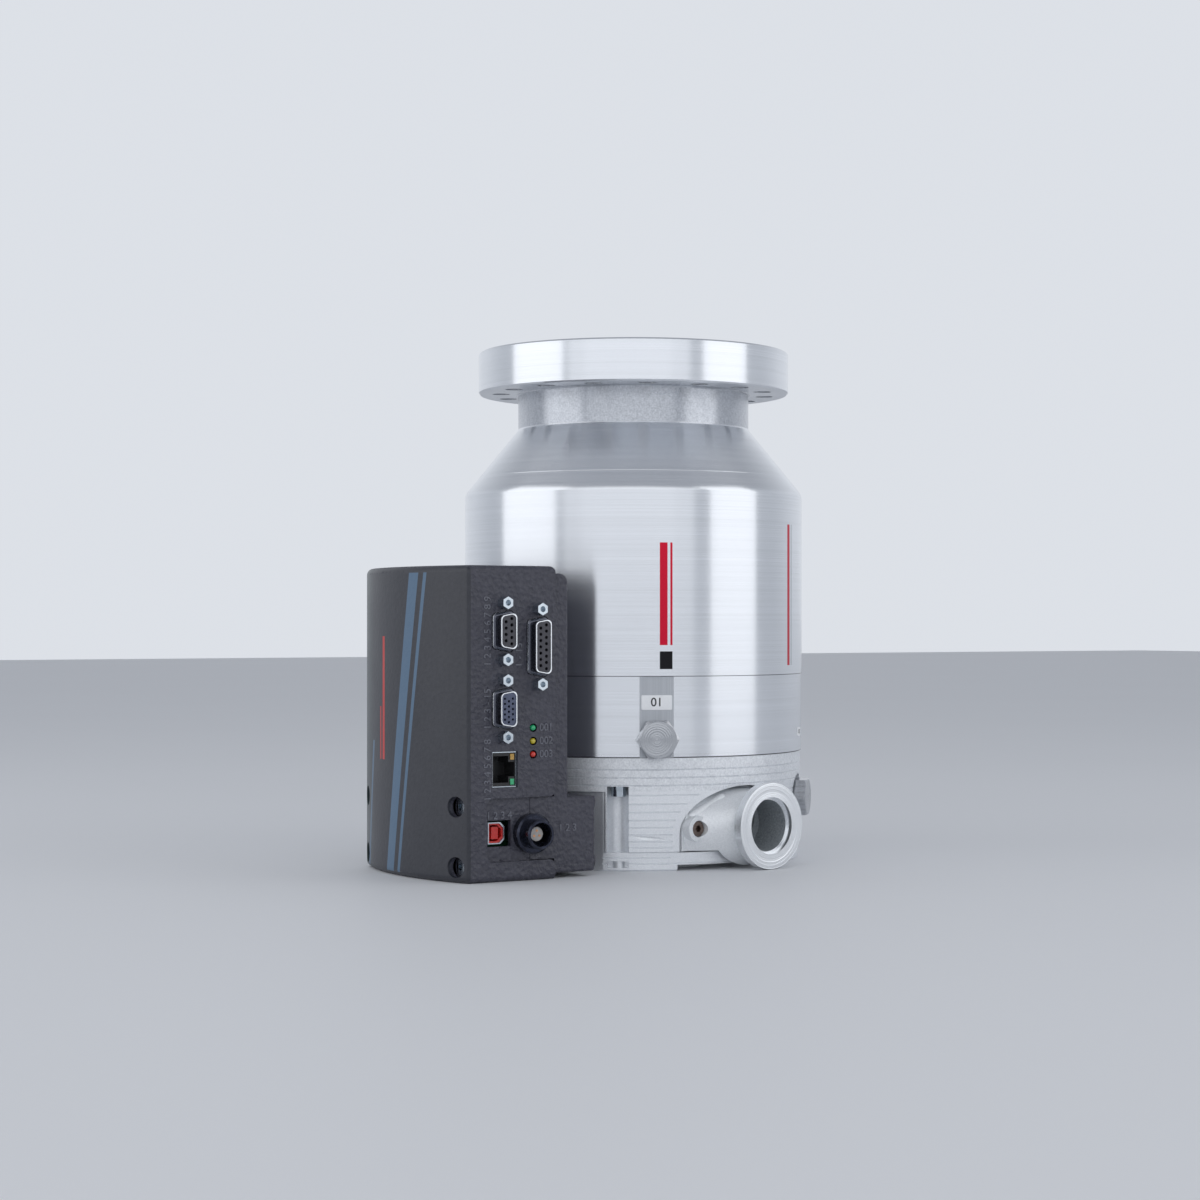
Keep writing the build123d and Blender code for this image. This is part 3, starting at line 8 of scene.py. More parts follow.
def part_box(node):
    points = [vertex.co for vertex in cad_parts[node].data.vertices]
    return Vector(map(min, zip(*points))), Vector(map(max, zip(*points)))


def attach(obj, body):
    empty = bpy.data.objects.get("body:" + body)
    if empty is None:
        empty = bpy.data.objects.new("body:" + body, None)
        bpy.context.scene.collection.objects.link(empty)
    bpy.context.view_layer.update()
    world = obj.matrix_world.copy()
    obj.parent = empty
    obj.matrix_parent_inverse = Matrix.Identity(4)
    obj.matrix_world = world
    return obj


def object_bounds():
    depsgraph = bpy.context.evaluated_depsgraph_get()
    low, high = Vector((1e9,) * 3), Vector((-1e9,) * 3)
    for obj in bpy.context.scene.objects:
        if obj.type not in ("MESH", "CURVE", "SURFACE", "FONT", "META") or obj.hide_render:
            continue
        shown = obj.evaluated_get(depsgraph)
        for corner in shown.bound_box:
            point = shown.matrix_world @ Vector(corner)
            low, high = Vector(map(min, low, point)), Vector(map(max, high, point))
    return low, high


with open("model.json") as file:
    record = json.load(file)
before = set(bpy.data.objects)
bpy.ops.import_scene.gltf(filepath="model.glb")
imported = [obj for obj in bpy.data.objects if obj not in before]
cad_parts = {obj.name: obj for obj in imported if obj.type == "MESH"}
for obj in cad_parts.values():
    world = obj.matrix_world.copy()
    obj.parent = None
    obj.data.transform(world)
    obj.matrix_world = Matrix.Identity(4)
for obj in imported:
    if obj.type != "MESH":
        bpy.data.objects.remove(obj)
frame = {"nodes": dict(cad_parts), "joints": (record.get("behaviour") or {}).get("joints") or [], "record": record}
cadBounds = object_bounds()
nodes = frame["nodes"]
mounts = {m["name"]: m for m in frame["record"]["mounts"]}
print("frame loaded:", len(nodes), "nodes")


def tint(value):
    return value if isinstance(value, Wire) else (*value, 1.0)


class Wire:
    # one value in a node tree: operators on it add Math nodes
    def __init__(self, shader, socket):
        self.shader = shader
        self.socket = socket

    def __add__(self, other):
        return self.shader.math("ADD", self, other)

    def __radd__(self, other):
        return self.shader.math("ADD", other, self)

    def __sub__(self, other):
        return self.shader.math("SUBTRACT", self, other)

    def __rsub__(self, other):
        return self.shader.math("SUBTRACT", other, self)

    def __mul__(self, other):
        return self.shader.math("MULTIPLY", self, other)

    def __rmul__(self, other):
        return self.shader.math("MULTIPLY", other, self)

    def __truediv__(self, other):
        return self.shader.math("DIVIDE", self, other)

    def __pow__(self, other):
        return self.shader.math("POWER", self, other)

    def __abs__(self):
        return self.shader.math("ABSOLUTE", self)

    def __lt__(self, other):
        return self.shader.math("LESS_THAN", self, other)

    def __gt__(self, other):
        return self.shader.math("GREATER_THAN", self, other)


facets = {"below": 0.00003, "half": 0.00006, "soft": 0.00002}


class Shader:
    def __init__(self, name, owner=None):
        self.material = owner or bpy.data.materials.new(name)
        self.material.use_nodes = True
        self.tree = self.material.node_tree
        self.tree.nodes.clear()
        self.place = self.make("TexCoord", {}, {}, "Generated" if owner else "Object")
        parts = self.make("SeparateXYZ", {}, {0: self.place}).socket.node
        self.x, self.y, self.z = [Wire(self, parts.outputs[k]) for k in range(3)]

    def make(self, kind, settings, values, output=0):
        node = self.tree.nodes.new("ShaderNode" + kind)
        for name, value in settings.items():
            setattr(node, name, value)
        for name, value in values.items():
            if isinstance(value, Wire):
                self.tree.links.new(value.socket, node.inputs[name])
            else:
                node.inputs[name].default_value = value
        return Wire(self, node.outputs[output]) if len(node.outputs) else None

    def math(self, operation, *values):
        return self.make("Math", {"operation": operation}, dict(enumerate(values)))

    def vector(self, x, y, z):
        return self.make("CombineXYZ", {}, {0: x, 1: y, 2: z})

    def noise(self, place, scale, detail=2.0):
        return self.make("TexNoise", {}, {"Vector": place, "Scale": scale, "Detail": detail}, 0)

    def cells(self, place, scale):
        return self.make("TexVoronoi", {}, {"Vector": place, "Scale": scale}, "Distance")

    def colour(self, low, high, factor):
        return self.make("Mix", {"data_type": "RGBA"}, {0: factor, 6: tint(low), 7: tint(high)}, 2)

    def level(self, value, start, end, low=0.0, high=1.0):
        # start..end goes to low..high, held beyond
        return self.make("MapRange", {}, {0: value, 1: start, 2: end, 3: low, 4: high})

    def within(self, value, middle, half, soft):
        # 1 inside middle +- half, falling to 0 over the soft width
        return self.level(abs(value - middle), half, half + soft, 1.0, 0.0)

    def bump(self, height, distance, below=None):
        values = {"Height": height, "Distance": distance}
        if below is not None:
            values["Normal"] = below
        return self.make("Bump", {}, values)

    def roundNormal(self, *radii):
        # true normal on upright turned faces, where the mesh has flat facets
        away = (self.x * self.x + self.y * self.y) ** 0.5
        onFace = 0.0
        for r in radii:
            onFace = onFace + self.within(away, r - facets["below"], facets["half"], facets["soft"])
        own = self.make("NewGeometry", {}, {}, "Normal")
        level = self.vector(self.x, self.y, 0.0)
        turned = self.make("VectorMath", {"operation": "NORMALIZE"}, {0: level})
        return self.make("Mix", {"data_type": "VECTOR"}, {0: onFace, 4: own, 5: turned}, 1)

    def ringedNormal(self, away, lean):
        # faced on a lathe: the normal leans to and from the axis, ring by ring
        own = self.make("NewGeometry", {}, {}, "Normal")
        side = self.make("VectorMath", {"operation": "SCALE"}, {0: away, "Scale": lean})
        both = self.make("VectorMath", {"operation": "ADD"}, {0: own, 1: side})
        return self.make("VectorMath", {"operation": "NORMALIZE"}, {0: both})

    def surface(self, **values):
        names = {"base": "Base Color", "metal": "Metallic", "rough": "Roughness", "normal": "Normal",
                 "coat": "Coat Weight", "coatRough": "Coat Roughness", "grain": "Anisotropic",
                 "grainTurn": "Anisotropic Rotation", "specular": "Specular IOR Level",
                 "glow": "Emission Color", "glowStrength": "Emission Strength"}
        return self.make("BsdfPrincipled", {}, {
            names[k]: tint(v) if k in ("base", "glow") else v for k, v in values.items()})

    def mixed(self, first, second, factor):
        return self.make("MixShader", {}, {0: factor, 1: first, 2: second})

    def finish(self, surface):
        self.make("OutputMaterial", {}, {"Surface": surface})
        return self.material


# lathe-turned casings
casing = {
    "light": (0.85, 0.87, 0.905), "dark": (0.74, 0.76, 0.79), "rough": (0.18, 0.27), "grain": 0.85,
    "lineScale": 2400.0, "flangeHeight": 0.020, "neckHeight": 0.0174, "neckRadius": 0.0566,
    "flangeRadius": 0.076,
    "blastLight": (0.66, 0.68, 0.72), "blastDark": (0.42, 0.44, 0.475), "blastScale": 1500.0,
    "markRed": (0.62, 0.018, 0.045), "markGrey": (0.50, 0.52, 0.55), "markBlack": (0.02, 0.02, 0.022),
    "seamDark": (0.10, 0.105, 0.115), "seamHalf": 0.00022, "seamSoft": 0.0001, "wideScale": 220.0,
    "cloudScale": 22.0, "lineDepth": 0.000006, "markSoft": 0.00015, "markTurnSoft": 0.002,
    # foot and top over the casing's joint, left and right in degrees round the axis
    "bars": [(0.0145, 0.0615, -23.0, -20.6, "markRed"), (0.0145, 0.0615, -19.6, -19.0, "markRed"),
             (0.0035, 0.0115, -23.0, -19.0, "markBlack"), (0.0045, 0.0715, 31.2, 33.0, "markRed"),
             (0.0045, 0.0715, 34.2, 34.9, "markGrey")],
}


def radius(s):
    return (s.x * s.x + s.y * s.y) ** 0.5


def latheLines(s, scale, spread=3.0):
    # streaks that follow the tool round the axis, on any turned face
    along = s.z - radius(s)
    return s.noise(s.vector(s.x * spread, s.y * spread, along * scale), 1.0, 3.0)


def turnedSurface(s, radii, extra=None, seam=None):
    fine = latheLines(s, casing["lineScale"])
    wide = latheLines(s, casing["wideScale"], 1.5)
    cloud = s.noise(s.place, casing["cloudScale"], 3.0)
    tone = s.level(fine * 0.6 + wide * 0.3 + cloud * 0.2, 0.38, 0.72)
    base = s.colour(casing["dark"], casing["light"], tone)
    if extra:
        base = extra(base)
    if seam:
        base = s.colour(base, casing["seamDark"], seam)
    return s.surface(base=base, metal=1.0, rough=s.level(fine + cloud * 0.4, 0.3, 0.95, *casing["rough"]),
                     grain=casing["grain"], grainTurn=0.25,
                     normal=s.bump(fine, casing["lineDepth"], s.roundNormal(*radii)))


def blastedSurface(s, light, dark, scale, rough=0.46, depth=0.00006, seam=None, grain=0.0, metal=0.6,
                   radii=()):
    grit = s.noise(s.place, scale, 2.0)
    pits = s.noise(s.place, scale * 0.42, 1.0)
    cloud = s.noise(s.place, 30.0, 2.0)
    base = s.colour(dark, light, s.level(grit * 0.7 + pits * 0.3 + cloud * 0.2, 0.40, 0.80))
    below = s.roundNormal(*radii) if radii else None
    if seam:
        base = s.colour(base, casing["seamDark"], seam)
    return s.surface(base=base, metal=metal, rough=s.level(cloud, 0.3, 0.7, rough - 0.05, rough + 0.07),
                     grain=grain, grainTurn=0.25, normal=s.bump(grit + pits, depth, below))


def azimuth(s):
    # round the axis from -Y towards +X, in radians
    return s.math("ARCTAN2", s.x, s.y * -1.0)


def inletCasingMaterial():
    s = Shader("turnedCasing")
    low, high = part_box("inlet_casing")
    neckTop = high.z - casing["flangeHeight"]
    neckLow = neckTop - casing["neckHeight"]
    outer = high.x * 0.97
    turn = azimuth(s)

    def mark(base, start, end, left, right, paint):
        along = s.within(s.z, low.z + (start + end) / 2, (end - start) / 2, casing["markSoft"])
        across = s.within(turn, radians((left + right) / 2), radians((right - left) / 2),
                          casing["markTurnSoft"])
        outside = radius(s) > outer
        return s.colour(base, paint, along * across * outside)

    def marks(base):
        # plain ruled bars, one group in front and one at the right
        for start, end, left, right, paint in casing["bars"]:
            base = mark(base, start, end, left, right, casing[paint])
        return base

    seam = s.within(s.z, low.z, casing["seamHalf"], casing["seamSoft"])
    turned = turnedSurface(s, [high.x, casing["flangeRadius"]], marks, seam)
    blasted = blastedSurface(s, casing["blastLight"], casing["blastDark"], casing["blastScale"],
                             0.28, 0.000012, None, 0.8, 1.0, [casing["neckRadius"]])
    neck = s.within(s.z, (neckTop + neckLow) / 2, (neckTop - neckLow) / 2 - 0.0004, 0.0003)
    neck = neck * s.within(radius(s), casing["neckRadius"], 0.0006, 0.0004)
    return s.finish(s.mixed(turned, blasted, neck))


ring = {"lip": 0.004, "padTurn": -24.0, "padHalf": 5.86, "padSoft": 0.0004, "flatBelow": 0.00004,
        "milledDark": (0.44, 0.46, 0.49), "milledLight": (0.51, 0.53, 0.56), "milledRough": 0.42,
        "milledScale": 1800.0}


def casingRingMaterial():
    s = Shader("turnedRing")
    low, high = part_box("casing_ring")
    seam = s.within(s.z, low.z + ring["lip"], casing["seamHalf"], casing["seamSoft"])
    turned = turnedSurface(s, [high.x], None, seam)
    # the milled pad has upright tool lines
    fine = ring["milledScale"]
    lines = s.noise(s.vector(s.x * fine, s.y * fine, s.z * 9.0), 1.0, 2.0)
    milled = s.surface(base=s.colour(ring["milledDark"], ring["milledLight"], s.level(lines, 0.3, 0.7)),
                       metal=0.9, rough=ring["milledRough"], normal=s.bump(lines, 0.000003))
    pad = s.within(azimuth(s), radians(ring["padTurn"]), radians(ring["padHalf"]), ring["padSoft"])
    flat = radius(s) < high.x - ring["flatBelow"]
    return s.finish(s.mixed(turned, milled, pad * flat * (radius(s) > high.x * 0.99)))


# blasted base and cast port
base = {
    "light": (0.90, 0.92, 0.945), "dark": (0.68, 0.70, 0.73), "scale": 1250.0,
    "smoothBelow": 0.0364, "smoothDark": (0.78, 0.80, 0.83), "footSetback": 0.0013,
    "portLight": (0.90, 0.92, 0.94), "portDark": (0.76, 0.78, 0.80), "ringLean": 0.9,
    # the two bore colours below are painted shade for the inside of the pipe
    "borePaintedShadeDark": (0.24, 0.265, 0.285), "borePaintedShadeLight": (0.42, 0.45, 0.47), "flangeDepth": 0.0041,
    "faceDark": (0.78, 0.80, 0.825), "faceLight": (0.92, 0.935, 0.95), "ringScale": 2600.0,
    "castScale": 1900.0, "boreScale": 1500.0, "boreRoom": 0.0004, "boreFrom": 0.0032, "edgeSoft": 0.0002,
}


def baseMaterial():
    s = Shader("blastedBase")
    low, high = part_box("base_housing")
    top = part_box("casing_ring")[0].z + ring["lip"]
    seam = s.within(s.z, top, 0.0002, casing["seamSoft"])
    radii = [high.x, high.x - base["footSetback"]]
    rough = blastedSurface(s, base["light"], base["dark"], base["scale"], 0.44, 0.00008, seam, radii=radii)
    smooth = blastedSurface(s, base["light"], base["smoothDark"], base["scale"] * 1.6, 0.38, 0.00002,
                            radii=radii)
    return s.finish(s.mixed(smooth, rough, s.level(s.z, base["smoothBelow"], base["smoothBelow"] + 0.0006)))


def portAxis():
    port = mounts["foreline_recess"]
    return Vector(port["pos_m"]), Vector(port["axis"])


def alongPort(s):
    # distance out along the port's axis, and from that axis
    at, way = portAxis()
    out = s.x * way.x + s.y * way.y
    side = s.x * way.y - s.y * way.x
    off = (side * side + (s.z - at.z) * (s.z - at.z)) ** 0.5
    return out, off


def portMaterial():
    s = Shader("castPort")
    at, way = portAxis()
    face = Vector(mounts["foreline_face"]["pos_m"]).xy.length
    out, off = alongPort(s)
    cast = blastedSurface(s, base["portLight"], base["portDark"], base["castScale"], 0.38, 0.00002,
                          metal=0.35)
    rings = s.noise(s.vector(off * base["ringScale"], out * base["ringScale"], 0.0), 1.0, 2.0)
    side = s.x * way.y - s.y * way.x
    away = s.vector(side * way.y / off, side * -way.x / off, (s.z - at.z) / off)
    turned = s.surface(base=s.colour(base["faceDark"], base["faceLight"], s.level(rings, 0.3, 0.7)),
                       metal=0.9, rough=0.22,
                       normal=s.ringedNormal(away, (rings - 0.5) * base["ringLean"]))
    rear = face - base["flangeDepth"]
    flange = s.level(out, rear, rear + base["edgeSoft"])
    part = s.mixed(cast, turned, flange)
    bore = mounts["foreline_bore"]["dims"]["r_mm"] / 1000 + base["boreRoom"]
    grit = s.noise(s.place, base["boreScale"], 3.0)
    # painted shade: the bore's inner wall gets a dark, dull finish in place of the shade inside the pipe
    inside = s.surface(base=s.colour(base["borePaintedShadeDark"], base["borePaintedShadeLight"], s.level(grit, 0.3, 0.7)),
                       metal=0.2, rough=0.75, normal=s.bump(grit, 0.0002))
    paintedBoreShade = s.level(off, bore, bore + base["edgeSoft"], 1.0, 0.0) * (out < face - base["boreFrom"])
    return s.finish(s.mixed(part, inside, paintedBoreShade))


# plugs, screws and plain metals
metals = {
    "steel": {"light": (0.62, 0.63, 0.645), "dark": (0.42, 0.43, 0.445), "rough": 0.28, "scale": 900.0},
    "zinc": {"light": (0.66, 0.72, 0.77), "dark": (0.42, 0.47, 0.52), "rough": 0.16, "scale": 700.0},
    "machined": {"light": (0.80, 0.81, 0.83), "dark": (0.62, 0.63, 0.65), "rough": 0.30, "scale": 1400.0},
    "shadedScrew": {"light": (0.26, 0.20, 0.17), "dark": (0.10, 0.08, 0.075), "rough": 0.42, "scale": 700.0},
    "magnet": {"light": (0.30, 0.30, 0.32), "dark": (0.18, 0.18, 0.20), "rough": 0.35, "scale": 900.0},
    "copper": {"light": (0.80, 0.42, 0.22), "dark": (0.55, 0.24, 0.11), "rough": 0.32, "scale": 1200.0},
}


def metalMaterial(name):
    look = metals[name]
    s = Shader(name + "Metal")
    lines = latheLines(s, look["scale"], 90.0)
    cloud = s.noise(s.place, 120.0, 2.0)
    return s.finish(s.surface(
        base=s.colour(look["dark"], look["light"], s.level(lines * 0.5 + cloud * 0.6, 0.3, 0.8)), metal=1.0,
        rough=s.level(cloud, 0.3, 0.7, look["rough"] - 0.05, look["rough"] + 0.08),
        normal=s.bump(lines, 0.000008)))


plug = {"light": (0.60, 0.615, 0.64), "dark": (0.40, 0.41, 0.43), "rough": 0.17, "ringScale": 4200.0,
        "lean": 1.3, "faceRadius": 0.0079}


def plugMaterial(joint):
    # faced on a lathe: rings about the plug's own axis
    way = Vector(joint["axis"]).normalized()
    low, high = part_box(joint["child"])
    middle = (low + high) / 2
    s = Shader(joint["child"] + "Steel")
    side = (s.x - middle.x) * way.y - (s.y - middle.y) * way.x
    up = s.z - middle.z
    off = (side * side + up * up) ** 0.5
    rings = s.noise(s.vector(off * plug["ringScale"], 0.0, 0.0), 1.0, 1.0)
    away = s.vector(side * way.y / off, side * -way.x / off, up / off)
    base = s.colour(plug["dark"], plug["light"], s.level(rings, 0.3, 0.7))
    turned = s.surface(base=base, metal=1.0, rough=plug["rough"],
                       normal=s.ringedNormal(away, (rings - 0.5) * plug["lean"]))
    plain = s.surface(base=base, metal=1.0, rough=plug["rough"] + 0.04, normal=s.bump(rings, 0.00002))
    return s.finish(s.mixed(plain, turned, off < plug["faceRadius"]))


# control box
box = {
    "panel": (0.036, 0.036, 0.052), "panelWorn": (0.064, 0.064, 0.086),
    # the grey-green edge colour on the next line is a painted rim highlight on the bow
    "bow": (0.020, 0.022, 0.031), "bowLight": (0.034, 0.036, 0.047), "bowPaintedRimLight": (0.085, 0.115, 0.115),
    "stripe": (0.085, 0.155, 0.245), "stripeRed": (0.55, 0.025, 0.02),
    # middle, lean, half width, foot, top
    "stripes": [(0.0075, 0.16, 0.0036, 0.0020, 0.1365, "stripe"),
                (0.0160, 0.16, 0.0011, 0.0020, 0.1365, "stripe"),
                (-0.0240, 0.16, 0.0013, 0.0020, 0.0600, "stripe"),
                (-0.0110, 0.0, 0.0012, 0.0520, 0.1080, "stripeRed"),
                (-0.0148, 0.0, 0.0006, 0.0520, 0.0760, "stripeRed")],
    "arcCentre": (-0.0129, -0.0260), "arcRadius": 0.1304, "grainScale": 520.0, "grainDepth": 0.0006,
    "bowDepth": 0.0012, "bowInset": 0.012, "rimLightFrom": 0.026, "rimLightTo": 0.044, "leanFrom": 0.07,
    "stripeSoft": 0.00012,
}


def boxMaterial():
    s = Shader("boxPaint")
    low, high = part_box("controller_cover")
    grain = s.noise(s.place, box["grainScale"], 2.0)
    pores = s.cells(s.place, box["grainScale"] * 0.9)
    cloud = s.noise(s.place, 45.0, 3.0)
    base = s.colour(box["panel"], box["panelWorn"], s.level(grain * 0.7 + cloud * 0.4, 0.40, 0.85))
    textured = s.surface(base=base, metal=0.0, rough=s.level(cloud, 0.3, 0.7, 0.42, 0.54), specular=0.6,
                         normal=s.bump(grain + pores * 0.6, box["grainDepth"]))
    # the bowed front is smoother and carries plain stripes, and a painted grey-green highlight along its far edge
    cx, cy = box["arcCentre"]
    dx = s.x - cx
    dy = s.y - cy
    out = (dx * dx + dy * dy) ** 0.5
    turn = s.math("ARCTAN2", dy * -1.0, dx * -1.0) * box["arcRadius"]
    bow = (out > box["arcRadius"] - box["bowDepth"]) * (s.x < high.x - box["bowInset"])
    height = s.z - low.z
    art = s.colour(box["bow"], box["bowLight"], s.level(grain * 0.6 + cloud * 0.6, 0.40, 0.85))
    # painted highlight: towards its far end the bow turns lighter grey-green, a rim light painted into the colour
    art = s.colour(art, box["bowPaintedRimLight"], s.level(turn * -1.0, box["rimLightFrom"], box["rimLightTo"], 0.0, 0.7))

    def stripe(art, middle, lean, half, start, end, paint):
        across = s.within(turn - (height - box["leanFrom"]) * lean, middle, half, box["stripeSoft"])
        along = s.within(height, (start + end) / 2, (end - start) / 2, box["stripeSoft"])
        return s.colour(art, paint, across * along)

    for middle, lean, half, start, end, paint in box["stripes"]:
        art = stripe(art, middle, lean, half, start, end, box[paint])
    smooth = s.surface(base=art, metal=0.0, rough=s.level(cloud, 0.3, 0.7, 0.36, 0.44), specular=0.5,
                       coat=0.12, coatRough=0.3, normal=s.bump(grain, 0.00009))
    return s.finish(s.mixed(textured, smooth, bow))


# plastics, seals and lamps
plastics = {
    "sealRubber": {"light": (0.035, 0.035, 0.036), "dark": (0.02, 0.02, 0.02), "rough": 0.6, "coat": 0.0},
    "socketGrey": {"light": (0.060, 0.059, 0.072), "dark": (0.036, 0.035, 0.045), "rough": 0.42, "coat": 0.1},
    "denseBlue": {"light": (0.095, 0.115, 0.185), "dark": (0.058, 0.070, 0.125), "rough": 0.42, "coat": 0.1},
    "blackPlastic": {"light": (0.018, 0.018, 0.021), "dark": (0.008, 0.008, 0.009), "rough": 0.38,
                     "coat": 0.1},
    "redPlastic": {"light": (0.82, 0.035, 0.022), "dark": (0.55, 0.012, 0.010), "rough": 0.28, "coat": 0.5},
    "insertGrey": {"light": (0.60, 0.58, 0.56), "dark": (0.42, 0.40, 0.385), "rough": 0.5, "coat": 0.0},
    "plate": {"light": (0.94, 0.95, 0.96), "dark": (0.88, 0.89, 0.91), "rough": 0.35, "coat": 0.2},
    "boardGreen": {"light": (0.02, 0.16, 0.07), "dark": (0.01, 0.09, 0.04), "rough": 0.35, "coat": 0.4},
    "sleeve": {"light": (0.04, 0.05, 0.10), "dark": (0.02, 0.025, 0.05), "rough": 0.3, "coat": 0.4},
    "carbonDrum": {"light": (0.07, 0.07, 0.075), "dark": (0.02, 0.02, 0.022), "rough": 0.45, "coat": 0.2},
    "ceramic": {"light": (0.16, 0.16, 0.17), "dark": (0.10, 0.10, 0.11), "rough": 0.12, "coat": 0.6},
    "lampGreen": {"light": (0.03, 0.62, 0.25), "dark": (0.01, 0.28, 0.11), "rough": 0.2, "coat": 0.8},
    "lampYellow": {"light": (0.85, 0.72, 0.05), "dark": (0.45, 0.36, 0.02), "rough": 0.2, "coat": 0.8},
    "lampRed": {"light": (0.90, 0.06, 0.035), "dark": (0.45, 0.015, 0.01), "rough": 0.2, "coat": 0.8},
    "lampAmber": {"light": (0.62, 0.36, 0.05), "dark": (0.34, 0.18, 0.02), "rough": 0.2, "coat": 0.8},
}


def plasticMaterial(name):
    look = plastics[name]
    s = Shader(name)
    grain = s.noise(s.place, 1300.0, 2.0)
    cloud = s.noise(s.place, 260.0, 2.0)
    return s.finish(s.surface(
        base=s.colour(look["dark"], look["light"], s.level(grain * 0.4 + cloud * 0.7, 0.35, 0.8)),
        metal=0.0, rough=s.level(cloud, 0.3, 0.7, look["rough"] - 0.04, look["rough"] + 0.06),
        coat=look["coat"], normal=s.bump(grain, 0.00002)))


# side is the colour of a painted dark reflection along the shell's sides
shell = {"dark": (0.74, 0.76, 0.79), "light": (0.88, 0.91, 0.94), "side": (0.12, 0.125, 0.15),
         "darkReflectionMiddle": 0.0030, "darkReflectionHalf": 0.0021, "darkReflectionSoft": 0.0002}


def shellMaterial():
    # drawn steel; a painted dark reflection of the panel lies along the sides, while the rim and the flared foot
    # keep the plain bright tone
    s = Shader("shellSteel")
    low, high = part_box("socket_shells")
    cloud = s.noise(s.place, 500.0, 2.0)
    # painted reflection: a band along the sides is darkened as if mirroring the dark panel
    side = s.within(s.y, low.y + shell["darkReflectionMiddle"], shell["darkReflectionHalf"], shell["darkReflectionSoft"])
    tone = s.colour(shell["dark"], shell["light"], s.level(cloud, 0.3, 0.7))
    return s.finish(s.surface(base=s.colour(tone, shell["side"], side), metal=1.0,
                              rough=s.level(cloud, 0.3, 0.7, 0.18, 0.30), normal=s.bump(cloud, 0.000008)))


powerShell = {"dark": (0.016, 0.018, 0.032), "light": (0.040, 0.046, 0.075)}


def powerSocketMaterial():
    s = Shader("blueBlackShell")
    cloud = s.noise(s.place, 300.0, 2.0)
    grain = s.noise(s.place, 1500.0, 1.0)
    return s.finish(s.surface(
        base=s.colour(powerShell["dark"], powerShell["light"], s.level(cloud, 0.3, 0.7)), metal=0.85,
        rough=s.level(cloud, 0.3, 0.7, 0.20, 0.30), coat=0.3, normal=s.bump(grain, 0.000006)))


wear = {
    "turned": ["inlet_casing"], "ring": ["casing_ring"], "base": ["base_housing"], "port": ["foreline_port"],
    "steel": ["inlet_screen", "rotor_shaft", "shaft_nut", "backup_bearing", "bearing_inner_race",
              "bearing_outer_race", "bearing_holder"], "shell": ["socket_shells"],
    "shadedScrew": ["port_screws"],
    "zinc": ["tie_screws", "bottom_cover_screws", "mount_screws", "socket_posts", "network_shield",
             "usb_shield", "face_screws"],
    "machined": ["turbine_rotor", "stator_discs", "spacer_rings", "drag_stator", "bearing_spider",
                 "bottom_cover"],
    "magnet": ["motor_magnet", "motor_stator", "rotor_magnets", "stator_magnets"],
    "copper": ["motor_windings", "power_pins"], "box": ["controller_cover", "controller_rear"],
    "power": ["power_socket"], "sealRubber": ["casing_seals", "port_seal", "plug_washers", "bearing_dampers"],
    "socketGrey": ["socket_inserts", "bearing_cage"], "denseBlue": ["dense_insert"],
    "blackPlastic": ["network_insert", "feedthrough"], "redPlastic": ["usb_insert"],
    "insertGrey": ["power_insert"], "plate": ["vent_plate", "purge_plate"], "boardGreen": ["circuit_boards"],
    "sleeve": ["capacitors"], "carbonDrum": ["drag_drum"], "ceramic": ["bearing_balls"],
    "lampGreen": ["green_lamp", "activity_lamp"], "lampYellow": ["yellow_lamp"], "lampRed": ["red_lamp"],
    "lampAmber": ["link_lamp"],
}
finishes = {"turned": inletCasingMaterial, "ring": casingRingMaterial, "base": baseMaterial,
            "port": portMaterial, "box": boxMaterial, "power": powerSocketMaterial, "shell": shellMaterial}


def dress():
    for finish, names in wear.items():
        if finish in finishes:
            material = finishes[finish]()
        elif finish in metals:
            material = metalMaterial(finish)
        else:
            material = plasticMaterial(finish)
        for name in names:
            cover(nodes[name], material)
    for joint in frame["joints"]:
        if joint["type"] == "slide":
            cover(nodes[joint["child"]], plugMaterial(joint))


def cover(piece, material):
    piece.data.materials.clear()
    piece.data.materials.append(material)
    piece.data.shade_smooth()


dress()
print("materials on", sum(len(names) for names in wear.values()) + 2, "nodes")


# plain numbers on the panel and plates
labels = {
    # tone: the raised numbers are lighter than the panel, as a painted highlight
    "size": 0.0046, "raise": 0.0003, "tone": (0.14, 0.145, 0.18),
    # text, how far out from the axis, height, turn in degrees
    "panel": [("1 2 3 4 5 6 7 8 9", 0.1229, 0.1105, 90), ("1 - 15", 0.1072, 0.1000, 90),
              ("1 2 3 - 15", 0.1229, 0.0764, 90), ("1 2 3 4 5 6 7 8", 0.1229, 0.0496, 90),
              ("001", 0.0935, 0.0677, 0), ("002", 0.0935, 0.0618, 0), ("003", 0.0935, 0.0559, 0)],
    "low": [("1 2 3 4", 0.1163, 0.0292, 0)],
    "rear": [("1 2 3", 0.0815, 0.0224, 0)],
    "plates": {"vent_plate": ("01", -24.0, 0.0056), "purge_plate": ("02", 45.0, 0.0030)},
}


def number(name, text, size, depth, place, material):
    curve = bpy.data.curves.new(name, "FONT")
    curve.body = text
    curve.size = size
    curve.extrude = depth
    curve.offset = 0.00004
    curve.align_x = "CENTER"
    curve.align_y = "CENTER"
    made = bpy.data.objects.new(name, curve)
    bpy.context.scene.collection.objects.link(made)
    bpy.context.view_layer.update()
    mesh = bpy.data.meshes.new_from_object(made.evaluated_get(bpy.context.evaluated_depsgraph_get()))
    bpy.data.objects.remove(made)
    piece = bpy.data.objects.new(name, mesh)
    bpy.context.scene.collection.objects.link(piece)
    piece.matrix_world = place
    piece.data.materials.clear()
    piece.data.materials.append(material)
    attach(piece, "housing")
    return piece


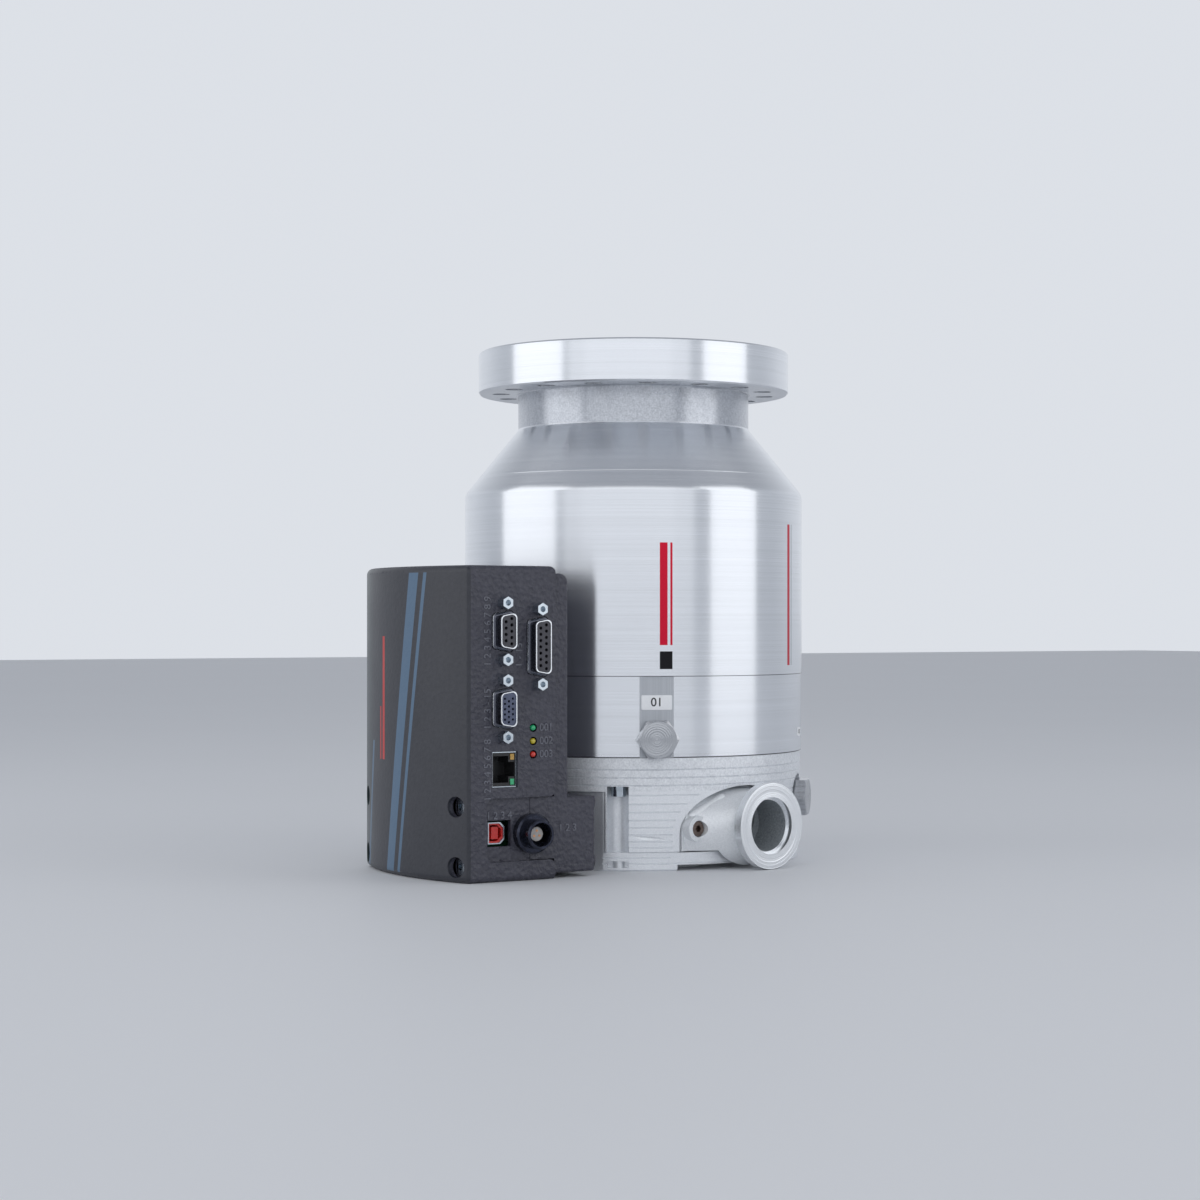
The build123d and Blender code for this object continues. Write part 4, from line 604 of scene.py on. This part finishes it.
def facing(turn, at, roll=0.0):
    # local X right, Y up, Z out along that azimuth
    a = radians(turn)
    right = Vector((cos(a), sin(a), 0))
    out = Vector((sin(a), -cos(a), 0))
    up = Vector((0, 0, 1))
    rows = Matrix((right, up, out)).transposed().to_4x4()
    return Matrix.Translation(at) @ rows @ Matrix.Rotation(radians(roll), 4, "Z")


def panelNumbers():
    s = Shader("raisedNumbersPaintedHighlight")
    grain = s.noise(s.place, 1200.0, 2.0)
    # painted highlight: the raised numbers are lighter and bluer than the panel to stand in for light catching
    # their edges
    tone = s.colour(labels["tone"], tuple(c * 0.6 for c in labels["tone"]), s.level(grain, 0.3, 0.7))
    paint = s.finish(s.surface(base=tone, rough=0.36, specular=0.7, normal=s.bump(grain, 0.00003)))
    low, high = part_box("controller_cover")
    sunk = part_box("controller_rear")[0].y
    k = 0
    for group, face in (("panel", low.y), ("low", sunk), ("rear", sunk)):
        for text, out, height, roll in labels[group]:
            k += 1
            place = facing(0.0, Vector((-out, face, height)), roll)
            number(f"panelNumber{k}", text, labels["size"], labels["raise"], place, paint)


def plateNumbers():
    ink = plasticMaterial("blackPlastic")
    for node, (text, turn, size) in labels["plates"].items():
        low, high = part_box(node)
        out = Vector((sin(radians(turn)), -cos(radians(turn)), 0))
        at = out * max(v.co.dot(out) for v in nodes[node].data.vertices)
        at.z = (low.z + high.z) / 2
        number(node + "Number", text, size, 0.00005, facing(turn, at), ink)


panelNumbers()
plateNumbers()
print("numbers set")


# floor, lights and camera
studio = {
    "turn": -31.5, "distance": 1.187, "height": 0.115, "lens": 72.3, "shift": (-0.0278, 0.0175),
    "floor": (0.80, 0.81, 0.83), "skyFar": (0.72, 0.75, 0.80), "skySide": (0.57, 0.60, 0.65),
    "skyHigh": (0.38, 0.40, 0.44), "floorReach": 6.0, "lampAim": 0.12,
    # side angle from the camera, distance, height, width, tall, watts
    "lamps": {"leftStrip": (-74, 1.30, 0.45, 1.10, 1.7, 4.2), "rightStrip": (70, 1.30, 0.45, 0.91, 1.7, 3.5),
              "frontSoft": (-3, 1.5, 0.75, 3.15, 1.3, 5.6), "frontCore": (-4, 1.45, 0.75, 1.9, 1.2, 0.6)},
}


def floorPiece():
    reach = studio["floorReach"]
    mesh = bpy.data.meshes.new("floor")
    z = cadBounds[0][2]
    corners = [(-reach, -reach, z), (reach, -reach, z), (reach, reach, z), (-reach, reach, z)]
    mesh.from_pydata(corners, [], [(0, 1, 2, 3)])
    piece = bpy.data.objects.new("floor", mesh)
    bpy.context.scene.collection.objects.link(piece)
    s = Shader("paleFloor")
    cloud = s.noise(s.place, 3.0, 2.0)
    tone = s.colour(studio["floor"], tuple(c * 0.98 for c in studio["floor"]), cloud)
    piece.data.materials.append(s.finish(s.surface(base=tone, rough=0.6)))


def lightUp():
    target = Vector((0, 0, studio["lampAim"]))
    for name, (side, away, height, width, tall, watts) in studio["lamps"].items():
        data = bpy.data.lights.new(name, "AREA")
        data.shape = "RECTANGLE"
        data.size = width
        data.size_y = tall
        data.energy = watts
        lamp = bpy.data.objects.new(name, data)
        bpy.context.scene.collection.objects.link(lamp)
        a = radians(studio["turn"] + side)
        lamp.location = (sin(a) * away, -cos(a) * away, height)
        lamp.rotation_euler = (target - lamp.location).to_track_quat("-Z", "Y").to_euler()
    bpy.context.scene.world = sky()


def sky():
    # pale behind the part, greyer at the sides and overhead
    world = bpy.data.worlds.new("sky")
    world.use_nodes = True
    s = Shader("sky", world)
    a = radians(studio["turn"])
    away = s.x * -sin(a) + s.y * cos(a)
    tone = s.colour(studio["skySide"], studio["skyFar"], s.level(away, 0.35, 0.75))
    tone = s.colour(tone, studio["skyHigh"], s.level(s.z, 0.25, 0.70))
    glow = s.make("Background", {}, {"Color": tone, "Strength": 1.0})
    s.make("OutputWorld", {}, {"Surface": glow})
    return world


def aim():
    data = bpy.data.cameras.new("view")
    data.lens = studio["lens"]
    data.sensor_width = 36.0
    data.shift_x, data.shift_y = studio["shift"]
    camera = bpy.data.objects.new("view", data)
    bpy.context.scene.collection.objects.link(camera)
    a = radians(studio["turn"])
    away = studio["distance"]
    camera.location = (sin(a) * away, -cos(a) * away, studio["height"])
    camera.rotation_euler = (radians(90), 0, a)
    bpy.context.scene.camera = camera


floorPiece()
lightUp()
aim()
bpy.context.scene.view_settings.view_transform = "Standard"
print("studio set")
